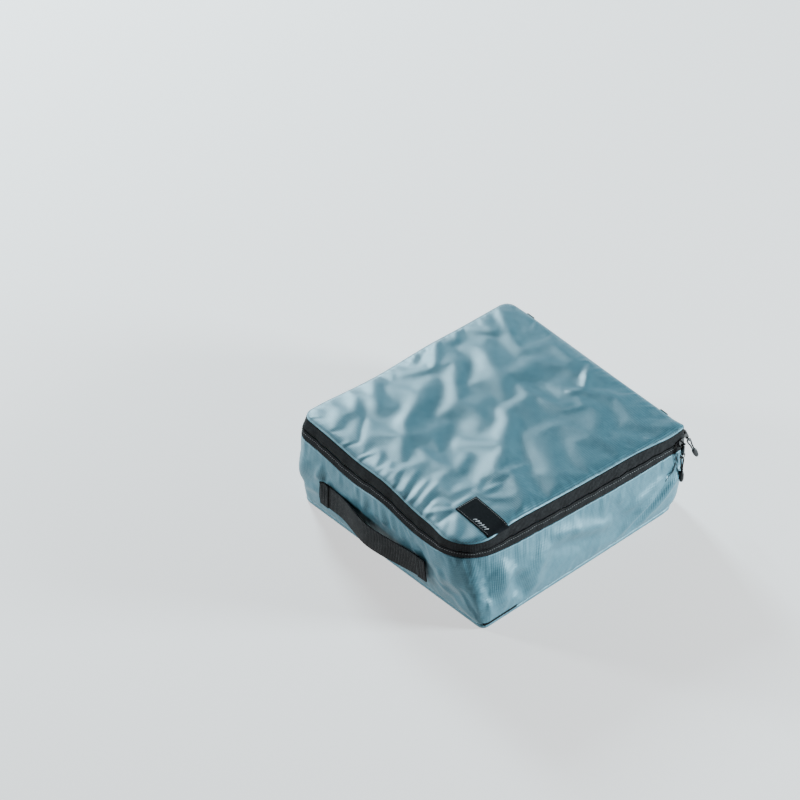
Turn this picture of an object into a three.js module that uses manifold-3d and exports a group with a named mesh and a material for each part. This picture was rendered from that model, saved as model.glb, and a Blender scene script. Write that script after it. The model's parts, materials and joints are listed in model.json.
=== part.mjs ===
// A zipped fabric packing cube for luggage, stuffed to its full height and closed.
// Millimetres, +Z up. The origin is the middle of the base, on the surface that the cube stands on.
// +X is the side that the right-hand slider runs along, -Y is the front with the carrying handle,
// +Y is the back, where the lid is hinged.
import * as THREE from 'three';
import { mergeVertices } from 'three/addons/utils/BufferGeometryUtils.js';
import Module from 'manifold-3d';

const wasm = await Module();
wasm.setup();

// Driving dimensions of the bag
const WIDTH = 268;
const DEPTH = 289;
const WALL_TOP = 73;
const ZIP_LINE = 85;
const LID_SEAM = 97;
const LID_CROWN = 5;
const FRONT_RIGHT_RADIUS = 38;
const FRONT_LEFT_RADIUS = 18;
const BACK_RADIUS = 6;
const CORNER_STEPS = 6;
const GAP = 0.3;

// Fabric, tape and binding sections
const FABRIC = 1.2;
const TAPE = 1;
const TAPE_EDGE = 0.8;
const COIL_OUTER = -1.3;
const COIL_INNER = -3.1;
const COIL_NEAR = 0.6;
const COIL_FAR = 2.6;
const BINDING_OUTER = -1.5;
const BINDING = 1.1;
const BINDING_WIDTH = 7;
const BASE_LIP = 6;

// Where the strips of the back side end, measured along X from the middle of the back
const ZIP_END = 100;
const END_TAB_WIDTH = 10;
const GUSSET_END = 113;

// Handle webbing on the front wall
const WEBBING_WIDTH = 28;
const WEBBING = 1.5;
const HANDLE_LEFT = -86;
const HANDLE_RIGHT = 69;
const HANDLE_LOW = 13;
const HANDLE_END_LENGTH = 12;
const HANDLE_BOW = 8;
const HANDLE_STEPS = 18;

// Woven label on the lid
const LABEL = { low: [82.5, -113], high: [130.5, -86], thickness: 0.6 };

// Slider, pull tab, ring and cord, in the slider's own frame: x points out of the bag from the
// face of the tapes, y runs along the zip and z up, with the origin on the meeting line
const SLIDER_LENGTH = 11.6;
const SLIDER_WIDTH = 10;
const PLATE = 1.3;
const NECK = 0.6;
const INNER_PLATE_LENGTH = 8;
const INNER_PLATE = { near: -3.5, far: -4.8, low: -4.5 };
const BAIL = { top: 6.2, bar: 0.9, length: 7.2, post: 1.2, width: 1.2 };
const BAR_X = BAIL.top - BAIL.bar / 2;
const TAB = { length: 10.2, top: 2.4, topHole: 1.15, end: 2.2, endHole: 1.1, thickness: 1.4 };
const RING = { radius: 3.4, wire: 0.5 };
const CORD = { radius: 0.8, turn: 2, drop: 17, half: 0.95, steps: 8, sides: 8 };
const CORD_END = { length: 13.7, width: 5.4, thickness: 4 };
const SLIDER_RIGHT_Y = 135.2;
const SLIDER_BACK_X = 124.8;
const BACK_PULL_LEAN = 25;

const MATERIALS = {
  shell: { color: 0x7fa5b2, roughness: 0.42, metalness: 0 },
  tape: { color: 0x2b2b2d, roughness: 0.8, metalness: 0 },
  coil: { color: 0x1b1b1d, roughness: 0.5, metalness: 0 },
  webbing: { color: 0x333335, roughness: 0.85, metalness: 0 },
  binding: { color: 0x1d1e20, roughness: 0.85, metalness: 0 },
  label: { color: 0x17191d, roughness: 0.7, metalness: 0 },
  slider: { color: 0x17181a, roughness: 0.25, metalness: 0.9 },
  cord: { color: 0x1a1a1c, roughness: 0.8, metalness: 0 },
  cordEnd: { color: 0x161618, roughness: 0.45, metalness: 0 },
};

const cube = new THREE.Group();

function piece(name, material, geometry, parent = cube) {
  const mesh = new THREE.Mesh(geometry, new THREE.MeshStandardMaterial(MATERIALS[material]));
  mesh.name = name;
  parent.add(mesh);
  return mesh;
}

function mesh(positions, indices) {
  const geometry = new THREE.BufferGeometry();
  geometry.setAttribute('position', new THREE.Float32BufferAttribute(positions, 3));
  geometry.setIndex(indices);
  return geometry;
}

// The plan of the bag is a rectangle with rounded corners. It is walked clockwise, seen from above,
// from the middle of the back, and a place on it is the distance walked.
function planSegments() {
  const halfWidth = WIDTH / 2;
  const halfDepth = DEPTH / 2;
  const corners = [
    { x: halfWidth, y: halfDepth, radius: BACK_RADIUS, from: 90 },
    { x: halfWidth, y: -halfDepth, radius: FRONT_RIGHT_RADIUS, from: 0 },
    { x: -halfWidth, y: -halfDepth, radius: FRONT_LEFT_RADIUS, from: -90 },
    { x: -halfWidth, y: halfDepth, radius: BACK_RADIUS, from: -180 },
  ];
  const segments = [];
  let start = 0;
  let last = { x: 0, y: halfDepth };
  const addLine = (end) => {
    const from = last;
    const length = Math.hypot(end.x - from.x, end.y - from.y);
    const dx = (end.x - from.x) / length;
    const dy = (end.y - from.y) / length;
    const at = (s) => ({ x: from.x + dx * s, y: from.y + dy * s, nx: -dy, ny: dx });
    segments.push({ start, length, steps: 1, at });
    start += length;
  };
  for (const corner of corners) {
    const cx = corner.x - Math.sign(corner.x) * corner.radius;
    const cy = corner.y - Math.sign(corner.y) * corner.radius;
    const at = (s) => {
      const angle = THREE.MathUtils.degToRad(corner.from) - s / corner.radius;
      const nx = Math.cos(angle);
      const ny = Math.sin(angle);
      return { x: cx + corner.radius * nx, y: cy + corner.radius * ny, nx, ny };
    };
    addLine(at(0));
    const length = (Math.PI / 2) * corner.radius;
    segments.push({ start, length, steps: CORNER_STEPS, at });
    start += length;
    last = at(length);
  }
  addLine({ x: 0, y: halfDepth });
  return segments;
}

const SEGMENTS = planSegments();
const ROUND = SEGMENTS.reduce((sum, segment) => sum + segment.length, 0);
const SIDE_START = SEGMENTS[2].start;

function stretch(from, to) {
  const stations = [];
  for (const segment of SEGMENTS) {
    const low = Math.max(from, segment.start);
    const high = Math.min(to, segment.start + segment.length);
    if (high - low < 0.01) continue;
    const steps = Math.ceil((segment.steps * (high - low)) / segment.length - 0.001);
    for (let i = stations.length ? 1 : 0; i <= steps; i++) {
      stations.push(segment.at(low + ((high - low) * i) / steps - segment.start));
    }
  }
  return stations;
}

// A strip with the given section, whose points are [outward, height] and run counter-clockwise
function strip(section, from, to) {
  const stations = stretch(from, to);
  const closed = to - from > ROUND - 0.01;
  if (closed) stations.pop();
  const positions = [];
  for (const { x, y, nx, ny } of stations) {
    for (const [out, height] of section) positions.push(x + nx * out, y + ny * out, height);
  }
  const count = section.length;
  const indices = [];
  const spans = closed ? stations.length : stations.length - 1;
  for (let j = 0; j < spans; j++) {
    const here = j * count;
    const next = ((j + 1) % stations.length) * count;
    for (let i = 0; i < count; i++) {
      const k = (i + 1) % count;
      indices.push(here + i, here + k, next + k, here + i, next + k, next + i);
    }
  }
  if (!closed) {
    const flat = section.map(([out, height]) => new THREE.Vector2(out, height));
    const last = (stations.length - 1) * count;
    for (const [a, b, c] of THREE.ShapeUtils.triangulateShape(flat, [])) {
      indices.push(c, b, a, last + a, last + b, last + c);
    }
  }
  return mesh(positions, indices);
}

function band(outer, thickness, low, high, from, to) {
  const inner = outer - thickness;
  return strip([[outer, low], [outer, high], [inner, high], [inner, low]], from, to);
}

// A closed skin through rings of points, from the middle of its underside round to its top
function skin(rings, underMiddle, topMiddle) {
  const count = rings[0].length;
  const positions = rings.flat(2);
  positions.push(...underMiddle, ...topMiddle);
  const under = rings.length * count;
  const top = under + 1;
  const last = (rings.length - 1) * count;
  const indices = [];
  for (let i = 0; i < count; i++) {
    const k = (i + 1) % count;
    for (let r = 0; r < rings.length - 1; r++) {
      const here = r * count;
      const next = here + count;
      indices.push(here + i, next + i, next + k, here + i, next + k, here + k);
    }
    indices.push(under, i, k, top, last + k, last + i);
  }
  return mesh(positions, indices);
}

// A ring inside the plan. Past the tightest corner's reach it shrinks towards the middle instead.
function planRing(out, height) {
  const near = Math.max(out, 1 - BACK_RADIUS);
  const shrink = 1 + (out - near) / (WIDTH / 2);
  const place = ({ x, y, nx, ny }) => [(x + nx * near) * shrink, (y + ny * near) * shrink, height];
  return stretch(0, ROUND).slice(0, -1).map(place);
}

// Closed or straight solids made by three.js, joined into one body
function toManifold(geometry) {
  const bare = geometry.clone();
  bare.deleteAttribute('normal');
  bare.deleteAttribute('uv');
  const merged = mergeVertices(bare, 1e-4);
  const vertProperties = merged.attributes.position.array;
  const triVerts = Uint32Array.from(merged.index.array);
  return new wasm.Manifold(new wasm.Mesh({ numProp: 3, vertProperties, triVerts }));
}

function join(...geometries) {
  const solids = geometries.map(toManifold);
  const whole = solids.slice(1).reduce((sum, solid) => sum.add(solid), solids[0]);
  const { vertProperties, triVerts } = whole.getMesh();
  return mesh(Array.from(vertProperties), Array.from(triVerts));
}

function box(low, high) {
  const size = high.map((value, i) => value - low[i]);
  const middle = high.map((value, i) => (value + low[i]) / 2);
  return new THREE.BoxGeometry(...size).translate(...middle);
}

// Fabric body: base, walls and their bound seams
function addBody() {
  const half = DEPTH / 2;
  const lip = [
    [-9, 0], [-4.5, 1], [-2.2, 3], [-1.7, BASE_LIP],
    [-2.9, BASE_LIP], [-3.4, 3.6], [-5.2, 2.2], [-9, 1.4],
  ];
  const rings = lip.map(([out, height]) => planRing(out, height));
  piece('base_panel', 'shell', skin(rings, [0, 0, 0], [0, 0, 1.4]));
  piece('base_binding', 'binding', band(-3.7, BINDING, 5, 5 + BINDING_WIDTH, 0, ROUND));

  const low = BASE_LIP + GAP;
  const high = WALL_TOP - GAP;
  const outside = [[-1.6, low], [-0.6, 12], [0, 20], [0, high]];
  const inside = outside.map(([out, height]) => [out - FABRIC, height]).reverse();
  piece('main_gusset', 'shell', strip([...outside, ...inside], GUSSET_END, ROUND - GUSSET_END));
  const seam = WALL_TOP - BINDING_WIDTH / 2;
  const seamTape = band(BINDING_OUTER, BINDING, seam, seam + BINDING_WIDTH, ZIP_END, ROUND - ZIP_END);
  piece('gusset_binding', 'binding', seamTape);

  const edge = GUSSET_END - GAP;
  const neck = ZIP_END - GAP;
  const back = new THREE.Shape();
  back.moveTo(-edge, low);
  back.lineTo(edge, low);
  back.lineTo(edge, high);
  back.lineTo(neck, high);
  back.lineTo(neck, LID_SEAM - GAP);
  back.lineTo(-neck, LID_SEAM - GAP);
  back.lineTo(-neck, high);
  back.lineTo(-edge, high);
  const backSheet = new THREE.ExtrudeGeometry(back, { depth: FABRIC, bevelEnabled: false });
  const wall = piece('back_panel', 'shell', backSheet);
  wall.rotation.x = Math.PI / 2;
  wall.position.y = half;

  for (const [name, side] of [['right', 1], ['left', -1]]) {
    const x = side * GUSSET_END;
    const y = half + BINDING_OUTER;
    const tape = box([x - 4, y - BINDING, 21], [x + 4, y, seam - GAP]);
    piece(`corner_binding_${name}`, 'binding', tape);
  }
  const strap = box([-96, half + BINDING_OUTER - BINDING, 89], [96, half + BINDING_OUTER, LID_SEAM - 2 * GAP]);
  piece('hinge_binding', 'binding', strap);
}

// Two zip tapes, each with its coil on the inside. The upper ones ride on the lid, apart from the
// stretches round the back corners, which stay with the walls.
function addZip(lid) {
  const meet = { low: ZIP_LINE - TAPE_EDGE, high: ZIP_LINE + TAPE_EDGE };
  const coil = (side) => {
    const near = ZIP_LINE + side * COIL_NEAR;
    const far = ZIP_LINE + side * COIL_FAR;
    const low = Math.min(near, far);
    const high = Math.max(near, far);
    const cut = 0.5;
    return [
      [COIL_OUTER, low + cut], [COIL_OUTER, high - cut], [COIL_OUTER - cut, high],
      [COIL_INNER + cut, high], [COIL_INNER, high - cut], [COIL_INNER, low + cut],
      [COIL_INNER + cut, low], [COIL_OUTER - cut, low],
    ];
  };
  const end = ZIP_END;
  piece('zip_tape_lower', 'tape', band(0, TAPE, WALL_TOP, meet.low, end, ROUND - end));
  piece('zip_coil_lower', 'coil', strip(coil(-1), end, ROUND - end));
  const lidStart = SIDE_START + 1;
  const top = LID_SEAM;
  piece('zip_tape_upper', 'tape', band(0, TAPE, meet.high, top, lidStart, ROUND - lidStart), lid);
  piece('zip_coil_upper', 'coil', strip(coil(1), lidStart, ROUND - lidStart), lid);
  const inner = [top - BINDING_WIDTH + 1, top - GAP];
  piece('lid_binding', 'binding', band(BINDING_OUTER, BINDING, ...inner, lidStart, ROUND - lidStart), lid);

  const stop = lidStart - GAP;
  const ends = [['right', end, stop], ['left', ROUND - stop, ROUND - end]];
  for (const [name, from, to] of ends) {
    piece(`zip_tape_upper_end_${name}`, 'tape', band(0, TAPE, meet.high, top, from, to));
    piece(`zip_coil_upper_end_${name}`, 'coil', strip(coil(1), from, to));
  }
  const tabs = [['right', end], ['left', ROUND - end]];
  const reach = END_TAB_WIDTH / 2;
  for (const [name, middle] of tabs) {
    const tab = band(GAP + TAPE, TAPE, WALL_TOP - 1, LID_SEAM, middle - reach, middle + reach);
    piece(`zip_end_tab_${name}`, 'binding', tab);
  }
}

// The lid's fabric is a thin sheet with a low crown
function crown(x, y) {
  const across = 1 - ((2 * x) / WIDTH) ** 4;
  const along = 1 - ((2 * y) / DEPTH) ** 4;
  return LID_CROWN * Math.max(0, across) * Math.max(0, along);
}

function addLid(lid) {
  const under = LID_SEAM + GAP;
  const scales = [0.3, 0.55, 0.75, 0.88, 0.96, 1];
  const edge = planRing(-0.5, 0);
  const ring = (scale, height) => edge.map(([x, y]) => [x * scale, y * scale, height + crown(x * scale, y * scale)]);
  const rings = [
    ...scales.map((scale) => ring(scale, under)),
    ...[...scales].reverse().map((scale) => ring(scale, under + FABRIC)),
  ];
  const middle = under + LID_CROWN;
  piece('lid_panel', 'shell', skin(rings, [0, 0, middle], [0, 0, middle + FABRIC]), lid);

  const { low, high, thickness } = LABEL;
  const columns = 4;
  const label = [];
  const faces = [];
  for (const lift of [GAP, GAP + thickness]) {
    for (let i = 0; i <= columns; i++) {
      for (const y of [low[1], high[1]]) {
        const x = low[0] + ((high[0] - low[0]) * i) / columns;
        const highest = Math.max(crown(x, low[1]), crown(x, high[1]), crown(x, (low[1] + high[1]) / 2));
        label.push(x, y, under + FABRIC + lift + highest);
      }
    }
  }
  const layer = 2 * (columns + 1);
  for (let i = 0; i < columns; i++) {
    const a = 2 * i;
    const b = a + layer;
    faces.push(a, a + 1, a + 3, a, a + 3, a + 2, b, b + 2, b + 3, b, b + 3, b + 1);
    faces.push(a, a + 2, b + 2, a, b + 2, b, a + 1, b + 1, b + 3, a + 1, b + 3, a + 3);
  }
  const last = layer - 2;
  faces.push(0, layer, layer + 1, 0, layer + 1, 1);
  faces.push(last, last + 1, last + layer + 1, last, last + layer + 1, last + layer);
  piece('side_label', 'label', mesh(label, faces), lid);
}

// Webbing handle: two sewn ends and the strap that bows out between them
function addHandle(grip) {
  const wall = -DEPTH / 2 - GAP;
  const outer = wall - 2 * WEBBING + 0.2;
  const top = HANDLE_LOW + WEBBING_WIDTH;
  const ends = [
    ['left', HANDLE_LEFT, HANDLE_LEFT + HANDLE_END_LENGTH],
    ['right', HANDLE_RIGHT - HANDLE_END_LENGTH, HANDLE_RIGHT],
  ];
  for (const [name, from, to] of ends) {
    piece(`handle_end_${name}`, 'webbing', box([from, outer, HANDLE_LOW], [to, wall, top]));
  }
  const from = HANDLE_LEFT + HANDLE_END_LENGTH + GAP;
  const to = HANDLE_RIGHT - HANDLE_END_LENGTH - GAP;
  const bow = (t) => outer + WEBBING - (HANDLE_BOW * (1 - Math.cos(2 * Math.PI * t))) / 2;
  const shape = new THREE.Shape();
  const inner = [];
  for (let i = 0; i <= HANDLE_STEPS; i++) {
    const t = i / HANDLE_STEPS;
    inner.push(new THREE.Vector2(from + (to - from) * t, bow(t)));
  }
  const outerEdge = inner.map(({ x, y }) => new THREE.Vector2(x, y - WEBBING)).reverse();
  shape.setFromPoints([...inner, ...outerEdge]);
  const strap = new THREE.ExtrudeGeometry(shape, { depth: WEBBING_WIDTH, bevelEnabled: false });
  piece('handle_grip', 'webbing', strap, grip).position.z = HANDLE_LOW;
}

// A flat piece cut from an outline in the slider's x, z plane, centred on y
function blade(shape, thickness) {
  const geometry = new THREE.ExtrudeGeometry(shape, { depth: thickness, bevelEnabled: false, curveSegments: 8 });
  return geometry.rotateX(Math.PI / 2).translate(0, thickness / 2, 0);
}

function sliderBody() {
  const half = SLIDER_LENGTH / 2;
  const wide = SLIDER_WIDTH / 2;
  const face = new THREE.Shape();
  face.setFromPoints([
    [-half, -wide * 0.55], [-half * 0.5, -wide * 0.7], [half * 0.3, -wide], [half * 0.8, -wide * 0.9],
    [half, -wide * 0.5], [half, wide * 0.5], [half * 0.8, wide * 0.9], [half * 0.3, wide],
    [-half * 0.5, wide * 0.7], [-half, wide * 0.55],
  ].map(([along, up]) => new THREE.Vector2(along, up)));
  const plate = new THREE.ExtrudeGeometry(face, {
    depth: PLATE - 0.6, bevelEnabled: true, bevelThickness: 0.3, bevelSize: 0.3, bevelOffset: -0.3, bevelSegments: 1,
  });
  // The outline's axes (along, up) and its depth become the slider's y, z and x
  plate.applyMatrix4(new THREE.Matrix4().set(0, 0, 1, GAP + 0.3, 1, 0, 0, 0, 0, 1, 0, 0, 0, 0, 0, 1));
  const reach = INNER_PLATE_LENGTH / 2;
  const neck = box([INNER_PLATE.near - 0.2, -2, -NECK / 2], [GAP + 0.2, 2, NECK / 2]);
  const inner = box([INNER_PLATE.far, -reach, INNER_PLATE.low], [INNER_PLATE.near, reach, NECK / 2]);
  const base = GAP + PLATE;
  const span = BAIL.length / 2;
  const side = BAIL.width / 2;
  const bar = box([BAIL.top - BAIL.bar, -span, -side], [BAIL.top, span, side]);
  const posts = [-1, 1].map((sign) => {
    const ys = [sign * span, sign * (span - BAIL.post)].sort((a, b) => a - b);
    return box([base - 0.2, ys[0], -side], [BAIL.top - 0.1, ys[1], side]);
  });
  return join(plate, neck, inner, bar, ...posts);
}

function pullTab() {
  const { length, top, topHole, end, endHole, thickness } = TAB;
  const shape = new THREE.Shape();
  shape.absarc(0, 0, top, 0, Math.PI, false);
  shape.absarc(0, -length, end, Math.PI, 2 * Math.PI, false);
  for (const [z, radius] of [[0, topHole], [-length, endHole]]) {
    const hole = new THREE.Path();
    hole.absarc(0, z, radius, 0, 2 * Math.PI, true);
    shape.holes.push(hole);
  }
  return blade(shape, thickness);
}

// The cord doubles back over the ring and both of its ends go down into the moulded end
function cordLoop() {
  const { radius, turn, drop, half, steps, sides } = CORD;
  const points = [];
  const straight = [drop - GAP, drop * 0.75, drop * 0.5, drop * 0.28];
  const spread = [half, half, half + 0.1, turn * 0.8];
  straight.forEach((z, i) => points.push(new THREE.Vector3(-spread[i], 0, -z)));
  for (let i = 0; i <= steps; i++) {
    const angle = Math.PI - (Math.PI * i) / steps;
    points.push(new THREE.Vector3(turn * Math.cos(angle), 0, turn * Math.sin(angle)));
  }
  straight.map((z, i) => new THREE.Vector3(spread[i], 0, -z)).reverse().forEach((point) => points.push(point));
  const round = new THREE.Shape();
  for (let i = 0; i < sides; i++) {
    const angle = (2 * Math.PI * i) / sides;
    const [x, y] = [radius * Math.cos(angle), radius * Math.sin(angle)];
    if (i === 0) round.moveTo(x, y);
    else round.lineTo(x, y);
  }
  const path = new THREE.CatmullRomCurve3(points);
  return new THREE.ExtrudeGeometry(round, { steps: 30, extrudePath: path, bevelEnabled: false });
}

function cordEnd() {
  const { length, width, thickness } = CORD_END;
  const shape = new THREE.Shape();
  shape.setFromPoints([
    [-0.36, 0], [0.36, 0], [0.5, -0.22], [0.5, -0.62], [0.3, -0.97], [0.18, -1],
    [-0.18, -1], [-0.3, -0.97], [-0.5, -0.62], [-0.5, -0.22],
  ].map(([across, down]) => new THREE.Vector2(across * width, down * length)));
  const edge = 0.7;
  const solid = new THREE.ExtrudeGeometry(shape, {
    depth: thickness - 2 * edge, bevelEnabled: true, bevelThickness: edge, bevelSize: edge,
    bevelOffset: -edge, bevelSegments: 1,
  });
  return solid.rotateX(Math.PI / 2).translate(0, thickness / 2 - edge, 0);
}

function addSlider(name, holder, lean) {
  piece(`slider_${name}`, 'slider', sliderBody(), holder);
  const pull = new THREE.Group();
  pull.position.x = BAR_X;
  pull.rotation.y = -THREE.MathUtils.degToRad(lean);
  holder.add(pull);
  piece(`pull_tab_${name}`, 'slider', pullTab(), pull);
  const wire = new THREE.TorusGeometry(RING.radius, RING.wire, 8, 24);
  const ring = piece(`pull_ring_${name}`, 'slider', wire, pull);
  ring.rotation.y = Math.PI / 2;
  ring.position.z = -TAB.length - RING.radius;
  const cord = new THREE.Group();
  cord.position.z = -TAB.length - 2 * RING.radius;
  pull.add(cord);
  piece(`pull_cord_${name}`, 'cord', cordLoop(), cord);
  const moulded = piece(`cord_end_${name}`, 'cordEnd', cordEnd(), cord);
  moulded.position.z = -CORD.drop;
}

const lid = new THREE.Group();
const grip = new THREE.Group();
const sliderRight = new THREE.Group();
const sliderBack = new THREE.Group();
sliderRight.position.set(WIDTH / 2, SLIDER_RIGHT_Y, ZIP_LINE);
sliderBack.position.set(SLIDER_BACK_X, DEPTH / 2, ZIP_LINE);
sliderBack.rotation.z = Math.PI / 2;
cube.add(lid, grip, sliderRight, sliderBack);

addBody();
addZip(lid);
addLid(lid);
addHandle(grip);
addSlider('right', sliderRight, 0);
addSlider('back', sliderBack, BACK_PULL_LEAN);

export default cube;
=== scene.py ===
"""The looks of a zipped fabric packing cube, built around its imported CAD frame. Metres, +Z up."""

import json
import math

import bmesh
import bpy
import numpy as np
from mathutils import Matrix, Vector, noise
from mathutils.bvhtree import BVHTree


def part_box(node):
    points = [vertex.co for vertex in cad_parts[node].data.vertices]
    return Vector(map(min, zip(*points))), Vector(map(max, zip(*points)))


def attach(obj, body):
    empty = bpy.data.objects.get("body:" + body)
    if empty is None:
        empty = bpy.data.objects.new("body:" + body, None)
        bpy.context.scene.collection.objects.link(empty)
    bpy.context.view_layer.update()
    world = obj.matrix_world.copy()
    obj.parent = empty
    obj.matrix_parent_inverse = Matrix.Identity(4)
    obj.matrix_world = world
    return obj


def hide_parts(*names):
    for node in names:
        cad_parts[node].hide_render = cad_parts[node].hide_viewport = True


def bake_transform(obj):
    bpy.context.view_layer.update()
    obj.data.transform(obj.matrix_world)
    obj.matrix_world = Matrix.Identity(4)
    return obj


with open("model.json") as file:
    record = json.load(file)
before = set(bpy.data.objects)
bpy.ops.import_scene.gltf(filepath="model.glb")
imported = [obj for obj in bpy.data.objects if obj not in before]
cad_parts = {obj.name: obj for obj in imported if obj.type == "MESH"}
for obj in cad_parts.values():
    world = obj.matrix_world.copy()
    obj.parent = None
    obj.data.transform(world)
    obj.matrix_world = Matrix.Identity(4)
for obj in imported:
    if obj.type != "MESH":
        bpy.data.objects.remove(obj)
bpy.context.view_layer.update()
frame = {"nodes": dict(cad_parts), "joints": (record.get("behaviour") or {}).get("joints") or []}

MM = 0.001

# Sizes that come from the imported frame
tape_low, tape_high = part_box("zip_tape_lower")
HALF_WIDTH = tape_high.x
HALF_DEPTH = tape_high.y
WALL_TOP = tape_low.z
LID_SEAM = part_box("zip_tape_upper")[1].z
ZIP_LINE = (tape_high.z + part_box("zip_tape_upper")[0].z) / 2
BASE_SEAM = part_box("base_panel")[1].z
GUSSET_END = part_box("back_panel")[1].x
ZIP_END = sum(corner.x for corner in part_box("zip_end_tab_right")) / 2
TAB_HALF = (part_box("zip_end_tab_right")[1].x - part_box("zip_end_tab_right")[0].x) / 2
LABEL_LOW, LABEL_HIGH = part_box("side_label")
HANDLE_LOW, HANDLE_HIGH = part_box("handle_grip")

# Sizes of the real fabric, as the CAD has them
TAPE_EDGE = 0.8 * MM
LID_CROWN = 6.5 * MM

# ---------------------------------------------------------------- camera, light and floor

CAMERA_AZIMUTH = 50.4
CAMERA_ELEVATION = 40.4
CAMERA_DISTANCE = 4.5
CAMERA_LENS = 202.0
CAMERA_AIM = (-88 * MM, 58.0 * MM)
CAMERA_AIM_HEIGHT = 50 * MM
LIGHT_AIM_HEIGHT = 60 * MM
# Each light's place, the side of its square, its power in watts and its colour
LIGHTS = {
    "key": ((-2.25, 0.6, 1.05), 0.5, 150, (0.74, 0.93, 1.0)),
    "right_box": ((1.55, 1.5, 0.5), 0.5, 185, (0.8, 0.95, 1.0)),
    "left_box": ((-1.8, -1.1, 0.5), 0.35, 80, (0.8, 0.95, 1.0)),
}
SKY_COLOUR = (0.93, 0.96, 1.0, 1)
SKY_STRENGTH = 0.1
FLOOR_REACH = 8.0
FLOOR_COLOUR = (0.5, 0.5, 0.5, 1)
FLOOR_GLOW = (1.0, 0.97, 0.96, 1)
FLOOR_GLOW_STRENGTH = 0.85


def add_camera():
    """A long lens from the front right, aimed beside the cube so that it stands low in the frame."""
    azimuth = math.radians(CAMERA_AZIMUTH)
    elevation = math.radians(CAMERA_ELEVATION)
    back = Vector((
        math.sin(azimuth) * math.cos(elevation),
        -math.cos(azimuth) * math.cos(elevation),
        math.sin(elevation),
    ))
    right = Vector((math.cos(azimuth), math.sin(azimuth), 0))
    up = back.cross(right)
    aim = Vector((0, 0, CAMERA_AIM_HEIGHT)) + right * CAMERA_AIM[0] + up * CAMERA_AIM[1]
    data = bpy.data.cameras.new("camera")
    data.lens = CAMERA_LENS
    data.clip_end = 50
    camera = bpy.data.objects.new("camera", data)
    camera.location = aim + back * CAMERA_DISTANCE
    camera.rotation_euler = back.to_track_quat("Z", "Y").to_euler()
    bpy.context.scene.collection.objects.link(camera)
    bpy.context.scene.camera = camera


def add_light(name, location, size, power, colour):
    """A square area light, aimed at the middle of the cube."""
    data = bpy.data.lights.new(name, "AREA")
    data.size = size
    data.energy = power
    data.color = colour
    light = bpy.data.objects.new(name, data)
    light.location = location
    direction = Vector(location) - Vector((0, 0, LIGHT_AIM_HEIGHT))
    light.rotation_euler = direction.to_track_quat("Z", "Y").to_euler()
    bpy.context.scene.collection.objects.link(light)


def add_sky():
    world = bpy.data.worlds.new("studio")
    world.use_nodes = True
    background = world.node_tree.nodes["Background"]
    background.inputs["Color"].default_value = SKY_COLOUR
    background.inputs["Strength"].default_value = SKY_STRENGTH
    bpy.context.scene.world = world


def add_floor():
    """A wide pale floor with a glow of its own, which stands in for the photo's white ground."""
    data = bpy.data.meshes.new("floor")
    corners = [(x * FLOOR_REACH, y * FLOOR_REACH, 0) for x, y in ((-1, -1), (1, -1), (1, 1), (-1, 1))]
    data.from_pydata(corners, [], [(0, 1, 2, 3)])
    floor = bpy.data.objects.new("floor", data)
    bpy.context.scene.collection.objects.link(floor)
    material = bpy.data.materials.new("studio_floor")
    material.use_nodes = True
    shader = material.node_tree.nodes["Principled BSDF"]
    shader.inputs["Base Color"].default_value = FLOOR_COLOUR
    shader.inputs["Roughness"].default_value = 0.9
    shader.inputs["Emission Color"].default_value = FLOOR_GLOW
    shader.inputs["Emission Strength"].default_value = FLOOR_GLOW_STRENGTH
    data.materials.append(material)


add_camera()
for name, values in LIGHTS.items():
    add_light(name, *values)
add_sky()
add_floor()

# ---------------------------------------------------------------- the plan of the bag


def plan_table(corners, step=0.25 * MM):
    """Walks clockwise round a four-sided plan with rounded corners, from the middle of its back.

    Gives rows of distance, place and outward normal, and the distances where each corner's arc
    starts and ends.
    """
    points = [np.array(corner[:2]) for corner in corners]
    middle = (points[-1] + points[0]) / 2
    rows = []
    marks = [0.0]
    walked = 0.0
    last = middle
    for i, corner in enumerate(corners):
        radius = corner[2]
        here = points[i]
        after = points[(i + 1) % 4]
        before = points[i - 1]
        into = (here - before) / np.linalg.norm(here - before)
        out_of = (after - here) / np.linalg.norm(after - here)
        turn = math.acos(float(np.clip(into @ out_of, -1, 1)))
        tangent = radius * math.tan(turn / 2)
        end = here - into * tangent
        normal = np.array([-into[1], into[0]])
        centre = end - normal * radius
        length = float(np.linalg.norm(end - last))
        for t in np.linspace(0, 1, max(2, int(length / step)), endpoint=False):
            rows.append((walked + length * t, *(last + (end - last) * t), *normal))
        walked += length
        marks.append(walked)
        arc = radius * turn
        start_angle = math.atan2(normal[1], normal[0])
        for t in np.linspace(0, 1, max(10, int(arc / step)), endpoint=False):
            angle = start_angle - turn * t
            outward = np.array([math.cos(angle), math.sin(angle)])
            rows.append((walked + arc * t, *(centre + radius * outward), *outward))
        walked += arc
        marks.append(walked)
        last = here + out_of * tangent
    length = float(np.linalg.norm(middle - last))
    normal = np.array([-(middle - last)[1], (middle - last)[0]]) / length
    for t in np.linspace(0, 1, max(2, int(length / step))):
        rows.append((walked + length * t, *(last + (middle - last) * t), *normal))
    marks.append(walked + length)
    return np.array(rows), marks


RIGHT_FRONT_RADIUS = 38 * MM
LEFT_FRONT_RADIUS = 18 * MM
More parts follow.
